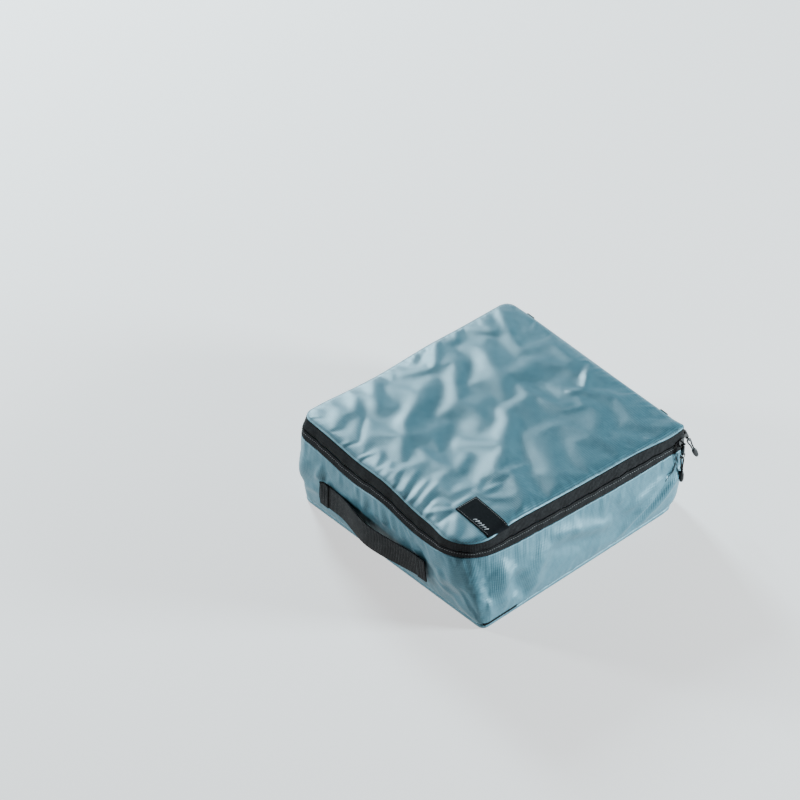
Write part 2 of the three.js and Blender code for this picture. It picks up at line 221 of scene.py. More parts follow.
# Corners right-back, right-front, left-front and left-back: x, y and the radius of the rounding.
# The stuffed bag isn't quite square, and its base has turned a little under its lid.
TOP_CORNERS = [
    (HALF_WIDTH, HALF_DEPTH, 6 * MM),
    (HALF_WIDTH - 1.5 * MM, -HALF_DEPTH, RIGHT_FRONT_RADIUS),
    (-HALF_WIDTH + 1.5 * MM, -HALF_DEPTH + 3.9 * MM, LEFT_FRONT_RADIUS),
    (-HALF_WIDTH, HALF_DEPTH - 3.5 * MM, 12 * MM),
]
BASE_CORNERS = [
    (HALF_WIDTH + 0.5 * MM, HALF_DEPTH, 27 * MM),
    (HALF_WIDTH + 16 * MM, -HALF_DEPTH + 11 * MM, 8 * MM),
    (-HALF_WIDTH + 18 * MM, -HALF_DEPTH - 2.5 * MM, 12 * MM),
    (-HALF_WIDTH + 2.5 * MM, HALF_DEPTH - 14 * MM, 12 * MM),
]
TOP_PLAN, MARKS = plan_table(TOP_CORNERS)
BASE_PLAN, BASE_MARKS = plan_table(BASE_CORNERS)
ROUND = MARKS[-1]
CORNER_R = (MARKS[1] + MARKS[2]) / 2
CORNER_F = (MARKS[3] + MARKS[4]) / 2
CORNER_L = (MARKS[5] + MARKS[6]) / 2
CORNER_B = (MARKS[7] + MARKS[8]) / 2


def on_right(t):
    """The distance at t metres along the right side from its front corner."""
    return MARKS[3] - (t - RIGHT_FRONT_RADIUS)


def on_front(t):
    """The distance at t metres along the front side from its left corner."""
    return MARKS[5] - (t - LEFT_FRONT_RADIUS)


def on_left(t):
    """The distance at t metres along the left side from its front corner."""
    return MARKS[6] + (t - LEFT_FRONT_RADIUS)


def read_plan(table, distance):
    columns = [np.interp(distance, table[:, 0], table[:, i]) for i in range(1, 5)]
    normal = np.stack(columns[2:], -1)
    normal /= np.linalg.norm(normal, axis=-1, keepdims=True)
    return np.stack(columns[:2], -1), normal


def top_plan(distance):
    return read_plan(TOP_PLAN, np.mod(distance, ROUND))


def base_plan(distance):
    return read_plan(BASE_PLAN, np.interp(np.mod(distance, ROUND), MARKS, BASE_MARKS))


def ease(value, low, high):
    t = np.clip((np.asarray(value, float) - low) / (high - low), 0, 1)
    return t * t * (3 - 2 * t)


def hump(distance, centre, half_width):
    """A smooth bump of 1 at centre, gone by half_width either side, on the closed walk."""
    gap = np.abs(np.mod(np.asarray(distance) - centre + ROUND / 2, ROUND) - ROUND / 2)
    return 1 - ease(gap, 0, half_width)


def profile(distance, knots):
    """Values given at places on the walk, joined by smooth steps, in millimetres."""
    places = np.array([place for place, value in knots])
    values = np.array([value for place, value in knots], float) * MM
    order = np.argsort(places)
    places, values = places[order], values[order]
    places = np.concatenate([places, [places[0] + ROUND]])
    values = np.concatenate([values, [values[0]]])
    d = np.mod(np.asarray(distance, float) - places[0], ROUND) + places[0]
    i = np.clip(np.searchsorted(places, d, side="right") - 1, 0, len(places) - 2)
    t = ease(d, places[i], places[i + 1])
    return values[i] + (values[i + 1] - values[i]) * t


def waves(value, *terms):
    """A sum of sines, each given as amplitude, wavelength and phase in turns."""
    value = np.asarray(value, float)
    return sum(a * np.sin(2 * np.pi * (value / length + phase)) for a, length, phase in terms)


# How far the two seams of the zip band stand out of the plan, and above their level, in millimetres
LID_SEAM_OUT = [
    (0, 0), (CORNER_R - 14 * MM, 0), (CORNER_R + 12 * MM, 0), (on_right(215 * MM), -3.6),
    (on_right(75 * MM), -3.6), (CORNER_F, 3.6), (on_front(205 * MM), -2.0), (on_front(130 * MM), -4),
    (on_front(45 * MM), -4.2), (CORNER_L, -4.6), (on_left(45 * MM), -3.4), (on_left(100 * MM), -3.5),
    (on_left(200 * MM), -3.2), (CORNER_B, -1), (ROUND - 100 * MM, 0),
]
LID_SEAM_RISE = [
    (0, 0), (CORNER_R - 20 * MM, 1), (CORNER_R, 3.4), (CORNER_R + 22 * MM, 1), (on_right(150 * MM), -0.5),
    (CORNER_F, 1.0), (on_front(190 * MM), -1.4), (on_front(140 * MM), 1.2), (on_front(90 * MM), -1.6),
    (on_front(40 * MM), 0), (CORNER_L, 0), (on_left(95 * MM), -4.2), (on_left(185 * MM), 0.4), (CORNER_B, 0),
]
WALL_SEAM_OUT = [
    (0, 0), (CORNER_R + 16 * MM, 0), (on_right(215 * MM), 1.6), (on_right(75 * MM), 1.4),
    (CORNER_F, -2.4), (on_front(205 * MM), 0.4), (on_front(60 * MM), 1), (CORNER_L, 1),
    (on_left(120 * MM), 0.6), (CORNER_B, 0),
]
WALL_SEAM_RISE = [
    (0, 0), (CORNER_R, 0.4), (on_right(150 * MM), -1.4), (on_right(60 * MM), 0), (CORNER_F, 1.6),
    (on_front(190 * MM), -3.2), (on_front(140 * MM), 1.8), (on_front(90 * MM), -2.6), (on_front(30 * MM), 1),
    (CORNER_L, 0.4), (CORNER_B, 0),
]

BAND_BELLY = 0.9 * MM
BAND_WAVES = ((0.35 * MM, 31 * MM, 0.1), (0.3 * MM, 17 * MM, 0.4))
PARKED_REACH = 34 * MM
WALL_BELLY = 2.2 * MM
CORNER_TUCK = 0.62
CORNER_TUCK_REACH = 60 * MM


def band_point(distance, rise, out=0.0):
    """A point on the zip band. rise is 0 at the wall seam, 0.5 on the meeting line, 1 at the lid seam."""
    distance, rise = np.broadcast_arrays(np.asarray(distance, float), np.asarray(rise, float))
    place, normal = top_plan(distance)
    low_out = profile(distance, WALL_SEAM_OUT)
    high_out = profile(distance, LID_SEAM_OUT)
    low_height = WALL_TOP + profile(distance, WALL_SEAM_RISE)
    high_height = LID_SEAM + profile(distance, LID_SEAM_RISE)
    free = 1 - hump(distance, CORNER_R, PARKED_REACH)
    meet = ZIP_LINE + (low_height - WALL_TOP + high_height - LID_SEAM) / 2 * free
    low_part = low_height + (meet - low_height) * np.clip(rise * 2, 0, 1)
    height = low_part + (high_height - meet) * np.clip(rise * 2 - 1, 0, 1)
    belly = (BAND_BELLY + waves(distance, *BAND_WAVES)) * free
    offset = low_out + (high_out - low_out) * rise + belly * np.sin(np.pi * rise) + out
    xy = place + normal * offset[..., None]
    return np.concatenate([xy, height[..., None]], -1)


def wall_point(distance, rise, out=0.0):
    """A point on the walls. rise is 0 at the base seam and 1 at the zip's lower seam."""
    distance, rise = np.broadcast_arrays(np.asarray(distance, float), np.asarray(rise, float))
    top = band_point(distance, np.zeros_like(rise))
    place, base_normal = base_plan(distance)
    bottom = np.concatenate([place, np.full_like(rise, BASE_SEAM)[..., None]], -1)
    points = bottom + (top - bottom) * rise[..., None]
    tucked = np.clip(rise, 0, 1) ** (1 - CORNER_TUCK * hump(distance, CORNER_R, CORNER_TUCK_REACH))
    points[..., :2] = bottom[..., :2] + (top - bottom)[..., :2] * tucked[..., None]
    normal = top_plan(distance)[1] * rise[..., None] + base_normal * (1 - rise[..., None])
    normal /= np.linalg.norm(normal, axis=-1, keepdims=True)
    belly = WALL_BELLY * np.sin(np.pi * np.clip(rise, 0, 1)) ** 0.8
    points[..., :2] += normal * (belly + out)[..., None]
    return points


def side_point(distance, height, out=0.0):
    """A point on the bag's side at about the given height, on the walls or on the zip band."""
    distance, height = np.broadcast_arrays(np.asarray(distance, float), np.asarray(height, float))
    low = wall_point(distance, (height - BASE_SEAM) / (WALL_TOP - BASE_SEAM), out)
    high = band_point(distance, np.clip((height - WALL_TOP) / (LID_SEAM - WALL_TOP), 0, 1), out)
    return np.where((height < WALL_TOP)[..., None], low, high)


# ---------------------------------------------------------------- mesh helpers


def grid_faces(rows, columns, wrap=False):
    """The quads between a grid's points. With wrap, the last column joins the first."""
    i, j = np.meshgrid(np.arange(rows - 1), np.arange(columns if wrap else columns - 1), indexing="ij")
    k = (j + 1) % columns
    corners = [i * columns + j, i * columns + k, (i + 1) * columns + k, (i + 1) * columns + j]
    return np.stack(corners, -1).reshape(-1, 4)


def make_object(name, points, faces, material, uv=None, smooth=True):
    data = bpy.data.meshes.new(name)
    data.from_pydata([tuple(p) for p in points], [], [tuple(int(i) for i in face) for face in faces])
    if uv is not None:
        layer = data.uv_layers.new(name="cloth")
        loops = np.empty(len(data.loops), np.int32)
        data.loops.foreach_get("vertex_index", loops)
        layer.data.foreach_set("uv", np.asarray(uv, np.float32)[loops].ravel())
    data.materials.append(material)
    data.polygons.foreach_set("use_smooth", np.full(len(data.polygons), smooth))
    data.update()
    obj = bpy.data.objects.new(name, data)
    bpy.context.scene.collection.objects.link(obj)
    return obj


def spread_grid(start, end, columns, low, high, rows):
    """Even values across and up a sheet, as two arrays of rows by columns."""
    return np.meshgrid(np.linspace(start, end, columns), np.linspace(low, high, rows), indexing="xy")


def make_sheet(name, points, material, along, up, closed=False):
    """A sheet through a grid of points, facing outward, with its cloth laid out by along and up."""
    rows, columns = along.shape
    faces = grid_faces(rows, columns, closed)[:, ::-1]
    uv = np.stack([along, up], -1).reshape(-1, 2)
    return make_object(name, points.reshape(-1, 3), faces, material, uv)


def apply_modifiers(obj):
    graph = bpy.context.evaluated_depsgraph_get()
    data = bpy.data.meshes.new_from_object(obj.evaluated_get(graph))
    old = obj.data
    obj.modifiers.clear()
    obj.data = data
    bpy.data.meshes.remove(old)
    data.name = obj.name


def refine(obj, levels=1, thickness=None, offset=-1.0):
    """Rounds the mesh off with subdivision and gives a sheet its thickness."""
    if levels:
        smooth = obj.modifiers.new("subdivision", "SUBSURF")
        smooth.levels = levels
        smooth.boundary_smooth = "PRESERVE_CORNERS"
    if thickness:
        solid = obj.modifiers.new("thickness", "SOLIDIFY")
        solid.thickness = thickness
        solid.offset = offset
    apply_modifiers(obj)
    obj.data.polygons.foreach_set("use_smooth", np.ones(len(obj.data.polygons), bool))
    obj.data.update()
    return obj


def tubes(name, paths, radius, material, sides=6, closed=False):
    """Round threads or wires along the given paths, in one mesh, with rounded ends."""
    points = []
    faces = []
    turns = np.arange(sides) * 2 * np.pi / sides
    for path in paths:
        path = np.asarray(path, float)
        if closed:
            along = np.roll(path, -1, 0) - np.roll(path, 1, 0)
        else:
            along = np.gradient(path, axis=0)
        along /= np.linalg.norm(along, axis=1, keepdims=True)
        side = np.cross(along, (0.137, 0.211, 0.968))
        side /= np.linalg.norm(side, axis=1, keepdims=True)
        other = np.cross(along, side)
        count = len(path)
        radii = np.full(count, radius)
        if not closed:
            radii[0] = radii[-1] = radius * 0.55
        ring = side[:, None] * np.cos(turns)[:, None] + other[:, None] * np.sin(turns)[:, None]
        start = len(points)
        points.extend((path[:, None] + ring * radii[:, None, None]).reshape(-1, 3))
        for i in range(count if closed else count - 1):
            k = (i + 1) % count
            for j in range(sides):
                m = (j + 1) % sides
                a, b = start + i * sides, start + k * sides
                faces.append((a + j, a + m, b + m, b + j))
        if not closed:
            faces.append(tuple(start + j for j in reversed(range(sides))))
            faces.append(tuple(start + (count - 1) * sides + j for j in range(sides)))
    return make_object(name, points, faces, material)


def finish_piece(obj, nodes=(), body=None, blend=None):
    """Puts a piece on its body, or bakes its transform in where it stands when a blend is given, and hides
    the CAD parts that it replaces.
    """
    if blend:
        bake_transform(obj)
    else:
        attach(obj, body)
    if nodes:
        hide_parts(*nodes)
    return obj


def field(points, scale, seed, octaves=3):
    """Smooth noise, about -1 to 1, with features about scale metres across."""
    shift = Vector((seed * 13.7, seed * 7.3, seed * 3.1))
    inverse = 1 / scale
    return np.array([noise.fractal(Vector(p) * inverse + shift, 0.6, 2.0, octaves) for p in points])


def ridges(x, y, folds):
    """Height of the listed folds. Each is a start, an end, a height and a half-width, in millimetres."""
    total = np.zeros_like(x)
    for x0, y0, x1, y1, height, width in folds:
        ax, ay, bx, by = x0 * MM, y0 * MM, x1 * MM, y1 * MM
        length = math.hypot(bx - ax, by - ay)
        ux, uy = (bx - ax) / length, (by - ay) / length
        t = ((x - ax) * ux + (y - ay) * uy) / length
        off = np.abs((x - ax) * -uy + (y - ay) * ux)
        reach = width * MM * (0.65 + 0.35 * np.clip(4 * t * (1 - t), 0, 1))
        ends = ease(t, -0.12, 0.25) * (1 - ease(t, 0.75, 1.12))
        total += height * MM * ends * np.exp(-((off / reach) ** 2))
    return total


def settle(obj, pins, frames, slack, lift, bending):
    """Lets a sheet buckle by cloth simulation, held by its pins, and keeps the settled shape."""
    group = obj.vertex_groups.new(name="pins")
    steps = np.round(np.asarray(pins) * 20) / 20
    for weight in np.unique(steps):
        if weight > 0:
            group.add([int(i) for i in np.nonzero(steps == weight)[0]], float(weight), "REPLACE")
    cloth = obj.modifiers.new("cloth", "CLOTH")
    settings = cloth.settings
    settings.vertex_group_mass = "pins"
    settings.pin_stiffness = 1.0
    settings.quality = 6
    settings.mass = 0.1
    settings.tension_stiffness = 12
    settings.compression_stiffness = 12
    settings.shear_stiffness = 6
    settings.bending_stiffness = bending
    settings.air_damping = 3
    settings.shrink_min = -slack
    settings.effector_weights.gravity = 0
    settings.use_pressure = lift != 0
    settings.uniform_pressure_force = lift
    cloth.collision_settings.use_collision = False
    cloth.collision_settings.use_self_collision = False
    cloth.point_cache.frame_start = 1
    cloth.point_cache.frame_end = frames
    scene = bpy.context.scene
    for number in range(1, frames + 1):
        scene.frame_set(number)
    apply_modifiers(obj)
    scene.frame_set(1)
    obj.vertex_groups.clear()


# ---------------------------------------------------------------- materials


class Nodes:
    """A material's node tree, with short ways to add the nodes used here."""

    def __init__(self, name, colour, roughness, **settings):
        self.material = bpy.data.materials.new(name)
        self.material.use_nodes = True
        self.tree = self.material.node_tree
        self.shader = self.tree.nodes["Principled BSDF"]
        self.shader.inputs["Base Color"].default_value = (*colour, 1)
        self.shader.inputs["Roughness"].default_value = roughness
        for key, value in settings.items():
            self.shader.inputs[key.replace("_", " ")].default_value = value

    def put(self, socket, value):
        if isinstance(value, bpy.types.NodeSocket):
            self.tree.links.new(value, socket)
        else:
            socket.default_value = (*value, 1) if isinstance(value, tuple) else value

    def add(self, kind, **inputs):
        node = self.tree.nodes.new(kind)
        for key, value in inputs.items():
            self.put(node.inputs[key.replace("_", " ")], value)
        return node

    def math(self, operation, a, b=0.0):
        node = self.tree.nodes.new("ShaderNodeMath")
        node.operation = operation
        self.put(node.inputs[0], a)
        self.put(node.inputs[1], b)
        return node.outputs[0]

    def times(self, a, b):
        return self.math("MULTIPLY", a, b)

    def plus(self, a, b):
        return self.math("ADD", a, b)

    def noise(self, scale, detail=3.0, roughness=0.55):
        """Noise over the object's own coordinates, so that it stays on the piece as it moves."""
        place = self.tree.nodes.new("ShaderNodeTexCoord").outputs["Object"]
        node = self.add("ShaderNodeTexNoise", Vector=place, Scale=scale, Detail=detail, Roughness=roughness)
        return node.outputs["Fac"]

    def wave(self, value, length):
        """A sine of the value, from -1 to 1, that repeats every length."""
        return self.math("SINE", self.times(value, 2 * math.pi / length))

    def spread(self, value, low, high, to_low, to_high):
        node = self.tree.nodes.new("ShaderNodeMapRange")
        for socket, given in zip(node.inputs, (value, low, high, to_low, to_high)):
            self.put(socket, given)
        return node.outputs["Result"]

    def mix(self, factor, first, second):
        node = self.tree.nodes.new("ShaderNodeMix")
        node.data_type = "RGBA"
        self.put(node.inputs["Factor"], factor)
        self.put(node.inputs["A"], first)
        self.put(node.inputs["B"], second)
        return node.outputs["Result"]

    def bump(self, height, distance, strength=1.0, normal=None):
        node = self.add("ShaderNodeBump", Strength=strength, Distance=distance, Height=height)
        if normal:
            self.put(node.inputs["Normal"], normal)
        return node.outputs["Normal"]

    def cloth(self):
        """The distances along and across the cloth, in metres."""
        node = self.tree.nodes.new("ShaderNodeUVMap")
        node.uv_map = "cloth"
        split = self.add("ShaderNodeSeparateXYZ", Vector=node.outputs["UV"])
        return split.outputs["X"], split.outputs["Y"]

    def link(self, socket, name):
        self.tree.links.new(socket, self.shader.inputs[name])


SHELL_MID = (0.031, 0.085, 0.112)
SHELL_PALE = (0.041, 0.105, 0.135)
SHELL_DEEP = (0.023, 0.067, 0.09)
SHELL_WORN = (0.075, 0.165, 0.2)
BLACK = (0.004, 0.004, 0.0045)
TAPE_BLACK = (0.0012, 0.0012, 0.0015)
TAPE_RIB = 1.5 * MM
WEBBING_RIB = 2.1 * MM


def shell_material():
    """Satin nylon taffeta: a fine plain weave with ribs, a soft gloss, and slow changes of tone."""
    n = Nodes(
        "satin_nylon", SHELL_MID, 0.46, Sheen_Weight=0.06, Sheen_Roughness=0.3,
        Specular_IOR_Level=0.75, Anisotropic=0.2, Specular_Tint=(0.5, 0.86, 1.0, 1.0),
    )
    u, v = n.cloth()
    slow = n.noise(22.0, 2.0)
    fine = n.noise(160.0, 4.0)
    grain = n.noise(430.0, 3.0, 0.7)
    tone = n.mix(n.spread(slow, 0.3, 0.7, 0.0, 1.0), SHELL_DEEP, SHELL_PALE)
    tone = n.mix(0.5, tone, SHELL_MID)
    weave = n.times(n.wave(u, 0.9 * MM), n.wave(v, 0.9 * MM))
    rib = n.plus(n.wave(u, 1.9 * MM), n.times(n.wave(v, 2.3 * MM), 0.4))
    shade = n.plus(n.times(rib, 0.35), n.times(n.plus(grain, fine), 1.4))
    shade = n.spread(shade, 0.9, 1.9, 0.0, 1.0)
    n.link(n.mix(n.times(shade, 0.5), tone, SHELL_WORN), "Base Color")
    n.link(n.spread(fine, 0.3, 0.7, 0.4, 0.48), "Roughness")
    threads = n.bump(n.plus(n.times(weave, 0.3), n.plus(rib, grain)), 0.08 * MM, 0.7)
    n.link(n.bump(n.noise(60.0, 3.0, 0.5), 0.7 * MM, 0.25, threads), "Normal")
    return n.material


def tape_material(name, light):
    """Woven polyester tape: ribs across its length, flecks of lighter yarn, and a little dust."""
    n = Nodes(name, TAPE_BLACK, 0.75, Specular_IOR_Level=0.07)
    u, v = n.cloth()
    ribs = n.wave(u, TAPE_RIB)
    rows = n.wave(v, TAPE_RIB * 0.9)
    fleck = n.noise(480.0, 3.0, 0.75)
    dust = n.noise(60.0)
    mixed = n.plus(n.times(ribs, 0.3), n.times(fleck, 1.1))
    tone = n.mix(n.spread(mixed, 0.42, 0.95, 0.0, 1.0), TAPE_BLACK, light)
    n.link(n.mix(n.spread(dust, 0.45, 0.8, 0.0, 0.3), tone, light), "Base Color")
    n.link(n.bump(n.plus(n.times(ribs, 0.6), n.times(rows, 0.4)), 0.22 * MM, 0.9), "Normal")
    return n.material


def webbing_material():
    """Ribbed charcoal webbing, with bold ribs across it, worn paler on their crests."""
    n = Nodes("ribbed_webbing", (0.01, 0.01, 0.011), 0.7, Specular_IOR_Level=0.14)
    u, v = n.cloth()
    wobble = n.times(n.noise(260.0, 2.0), 0.9 * MM)
    ribs = n.wave(n.plus(u, wobble), WEBBING_RIB)
    yarn = n.wave(v, 0.9 * MM)
    fleck = n.noise(520.0, 3.0, 0.7)
    streak = n.noise(90.0)
    crest = n.times(n.spread(ribs, 0.0, 1.0, 0.0, 1.0), n.spread(fleck, 0.4, 0.62, 0.0, 1.0))
    worn = n.times(crest, n.spread(streak, 0.38, 0.6, 0.25, 1.0))
    n.link(n.mix(worn, BLACK, (0.05, 0.05, 0.05)), "Base Color")
    n.link(n.bump(n.plus(n.times(ribs, 0.8), n.times(yarn, 0.2)), 0.35 * MM, 0.9), "Normal")
    return n.material


def label_material():
    """A dull black woven label."""
    n = Nodes("label_weave", (0.004, 0.005, 0.006), 0.8, Specular_IOR_Level=0.05)
    u, v = n.cloth()
    weave = n.times(n.wave(u, 0.7 * MM), n.wave(v, 0.7 * MM))
    fleck = n.spread(n.noise(400.0, 2.0), 0.3, 0.8, 0.0, 0.5)
    n.link(n.mix(fleck, (0.003, 0.0035, 0.0045), (0.009, 0.01, 0.012)), "Base Color")
    n.link(n.bump(weave, 0.05 * MM, 0.6), "Normal")
    return n.material


def metal_material():
    """Gloss black painted metal, with specks where the paint is worn."""
    n = Nodes(
        "gloss_black_metal", (0.012, 0.012, 0.013), 0.2, Metallic=0.15, Specular_IOR_Level=0.5,
        Coat_Weight=0.35, Coat_Roughness=0.06,
    )
    worn = n.spread(n.noise(700.0, 4.0, 0.7), 0.62, 0.78, 0.0, 0.6)
    n.link(n.mix(worn, BLACK, (0.05, 0.05, 0.052)), "Base Color")
    n.link(n.spread(n.noise(300.0), 0.3, 0.7, 0.1, 0.26), "Roughness")
    n.link(n.bump(n.noise(500.0), 0.06 * MM, 0.4), "Normal")
    return n.material


def plain_material(name, dark, light, roughness, grain, depth, **settings):
    """A plain surface, mottled from dark to light, with a grain this many times a metre."""
    n = Nodes(name, dark, roughness, **settings)
    fleck = n.noise(grain, 3.0, 0.65)
    n.link(n.mix(n.spread(fleck, 0.35, 0.7, 0.0, 1.0), dark, light), "Base Color")
    n.link(n.spread(fleck, 0.3, 0.7, roughness - 0.06, roughness + 0.08), "Roughness")
    n.link(n.bump(fleck, depth, 0.6), "Normal")
    return n.material


def thread_material(name, dark, light):
    return plain_material(name, dark, light, 0.6, 2200.0, 0.05 * MM)


SHELL = shell_material()
TAPE = tape_material("zip_tape_weave", (0.021, 0.021, 0.022))
BINDING = tape_material("binding_weave", (0.01, 0.01, 0.011))
WEBBING = webbing_material()
LABEL = label_material()
METAL = metal_material()
COIL = plain_material("coil_nylon", (0.012, 0.012, 0.013), (0.03, 0.03, 0.032), 0.35, 400.0, 0.03 * MM)
CORD = plain_material(
    "braided_cord", BLACK, (0.03, 0.03, 0.031), 0.6, 1800.0, 0.1 * MM, Specular_IOR_Level=0.2,
)
MOULDED = plain_material(
    "moulded_rubber", BLACK, (0.011, 0.011, 0.012), 0.45, 300.0, 0.04 * MM, Specular_IOR_Level=0.25,
)
PALE_THREAD = thread_material("pale_thread", (0.3, 0.3, 0.31), (0.55, 0.55, 0.57))
GREY_THREAD = thread_material("grey_thread", (0.04, 0.04, 0.04), (0.26, 0.26, 0.26))
# Dark thread for the stitches; it also colours the thin tubes of painted crease shade on the right wall.
DARK_THREAD_AND_SHADE = thread_material("dark_thread_and_shade", (0.012, 0.013, 0.015), (0.05, 0.05, 0.055))


# ---------------------------------------------------------------- pull cords

CORD_RADIUS = 0.8 * MM
CORD_END_LENGTH = 13.7 * MM
CORD_END_WIDTH = 5.4 * MM
CORD_END_THICKNESS = 4.0 * MM
CORD_DROP = 17 * MM
CORD_LOOP = 2 * MM
CORD_SIDES = 10
END_SIDES = 20
# One strand of the loop, up from the moulded end: half the loop's width and the drop, in millimetres
STRAND = [(0.95, 16.7), (0.95, 12.75), (1.05, 8.5), (1.6, 4.76)]
# The moulded end's rings: how far down, how wide and how thick, as shares of the whole
END_RINGS = [
    (0, 0.0, 0.0), (0, 0.5, 0.6), (0.03, 0.68, 0.78), (0.09, 0.8, 0.9), (0.22, 1.0, 1.0),
    (0.42, 1.0, 1.0), (0.62, 0.98, 1.0), (0.8, 0.82, 0.92), (0.93, 0.62, 0.78), (0.985, 0.42, 0.55),
    (1, 0.2, 0.3), (1, 0, 0),
]


def cord_route():
    """The loop's points in its own plane, as (outward, up) from the ring's lowest point."""
    knots = [(-out * MM, -down * MM) for out, down in STRAND]
    for angle in np.linspace(math.pi, 0, 9):
        knots.append((CORD_LOOP * math.cos(angle), CORD_LOOP * math.sin(angle)))
    knots += [(out * MM, -down * MM) for out, down in reversed(STRAND)]
    knots = np.array(knots)
    padded = np.concatenate([[2 * knots[0] - knots[1]], knots, [2 * knots[-1] - knots[-2]]])
    route = []
    for i in range(len(knots) - 1):
        p0, p1, p2, p3 = padded[i:i + 4]
        for t in np.linspace(0, 1, 4, endpoint=False):
            bend = 2 * p0 - 5 * p1 + 4 * p2 - p3
            turn = 3 * p1 - p0 - 3 * p2 + p3
            route.append((2 * p1 + (p2 - p0) * t + bend * t * t + turn * t ** 3) / 2)
    route.append(knots[-1])
    return np.array(route)


def hang(points, origin, outward, lean):
    """Puts points given as (outward, along the bar, up) at a pull's place, leaning out from the wall."""
    points = np.asarray(points, float)
    out = points[..., 0] * math.cos(lean) - points[..., 2] * math.sin(lean)
    up = points[..., 0] * math.sin(lean) + points[..., 2] * math.cos(lean)
    across = np.array([-outward[1], outward[0], 0.0])
    outward = np.array([*outward, 0.0])
    return (
        np.array(origin) + out[..., None] * outward + points[..., 1, None] * across
        + up[..., None] * np.array([0, 0, 1.0])
    )


def squared(wave):
    """A sine or cosine, filled out so that the ring it draws is a rounded box."""
    return np.sign(wave) * np.abs(wave) ** 0.75


def cord_end_points():
    """The moulded end's rings of points, as (outward, along the bar, up)."""
    angles = np.arange(END_SIDES) * 2 * np.pi / END_SIDES
    points = []
    for down, wide, thick in END_RINGS:
        x = squared(np.cos(angles)) * wide * CORD_END_WIDTH / 2
        y = squared(np.sin(angles)) * thick * CORD_END_THICKNESS / 2
        z = np.full(END_SIDES, -CORD_DROP - down * CORD_END_LENGTH)
        points.append(np.stack([x, y, z], -1))
    return np.array(points)


def add_pull(side, outward, lean):
    """One pull's cord and moulded end, hung from the lowest point of its ring."""
    joint = next(j for j in frame["joints"] if j["name"] == f"{side}_cord_swing")
    origin = np.array(joint["pos_m"], float)
    route = cord_route()
    flat = np.stack([route[:, 0], np.zeros(len(route)), route[:, 1]], -1)
    path = hang(flat, origin, outward, lean)
    cord = tubes(f"pull_cord_{side}_braid", [path], CORD_RADIUS, CORD, CORD_SIDES)
    finish_piece(cord, [f"pull_cord_{side}"], f"{side}_cord")
    rings = hang(cord_end_points(), origin, outward, lean)
    count = rings.shape[1]
    faces = grid_faces(len(rings), count, True)
    end = make_object(f"cord_end_{side}_moulded", rings.reshape(-1, 3), faces, MOULDED)
    finish_piece(end, [f"cord_end_{side}"], f"{side}_cord")


add_pull("right", (1, 0), 0.0)
add_pull("back", (0, 1), math.radians(25))
for kind in ("slider", "pull_tab", "pull_ring"):
    for side in ("right", "back"):
        for material_slot in frame["nodes"][f"{kind}_{side}"].material_slots:
            material_slot.material = METAL

# ---------------------------------------------------------------- lid

LID_ACROSS = 104
LID_ALONG = 110
LID_BLEND = ("root", "lid", (0, HALF_DEPTH - 1 * MM, LID_SEAM), (0, HALF_DEPTH - 15 * MM, LID_SEAM))
ZIP_BLEND = ("root", "lid", (0, HALF_DEPTH - 7 * MM, LID_SEAM), (0, HALF_DEPTH - 28 * MM, LID_SEAM))
CLOTH_THICKNESS = 0.4 * MM
# The way that the lid's long streaks run
FOLD_WAY = (0.62, -0.78)
STREAK_LENGTH = 62 * MM
STREAK_HEIGHT = 1.0 * MM
SWAY_LENGTH = 46 * MM
FOLD_SHARE = 0.72
TUCK_SHARE = 0.45
# The lid rises quickly beside its seam, to this height over about this width
SHOULDER_HEIGHT = 2.4 * MM
SHOULDER_WIDTH = 3.2 * MM
GATHER_HEIGHT = 0.7 * MM
GATHER_REACH = 8 * MM

LABEL_X = (LABEL_LOW.x, LABEL_HIGH.x + 1.8 * MM)
LABEL_Y = (LABEL_LOW.y, LABEL_HIGH.y)
LABEL_SHADOW = 4 * MM

# Folds of the stuffed lid: start, end, height and half-width, in millimetres
LID_FOLDS = [
    (-84, 66, -14, 34, 2.6, 13), (-132, 44, -92, 6, 2.6, 6.5), (-126, 28, -106, -4, -1.6, 5),
    (-128, -46, -72, -84, 2.4, 9), (-120, -74, -84, -102, 1.2, 8), (-54, -58, -6, -112, 1.8, 11),
    (16, 14, 80, -66, 3.4, 15), (44, 2, 131, -38, -2.4, 12), (78, -38, 132, -64, 2.4, 9),
    (-26, -10, 24, -80, -3.8, 16), (4, 128, 29, 102, 2.2, 4.5), (29, 103, 20, 84, 1.8, 4),
    (8, 114, 18, 96, -1.6, 9), (-6, 108, -6, 58, -2.8, 17), (-44, 96, -22, 60, 1.6, 12),
    (-128, 122, -84, 103, 2.4, 7), (-124, 96, -94, 88, 2.2, 8), (-118, 76, -58, 26, -2.0, 12),
    (-79, -93, -54, -122, -0.8, 3), (-88, -4, -42, -78, 1.8, 11), (-62, 0, -24, -62, -1.6, 11),
    (26, 58, 34, 82, 0.7, 4), (38, 62, 47, 88, 0.7, 4), (62, 94, 98, 52, 1.4, 14),
    (58, 44, 116, 8, -1.3, 14), (76, -16, 80, -58, 1.2, 6), (90, -16, 128, -8, 0.9, 7),
    (28, -50, 46, -78, 1.6, 7), (-96, 40, -60, 6, 1.4, 10), (-112, -100, -84, -128, 1.2, 9),
    (40, 112, 104, 120, 1.2, 12), (-60, 128, 0, 122, 1.2, 12), (-98, 92, -40, 78, -1.4, 10),
]
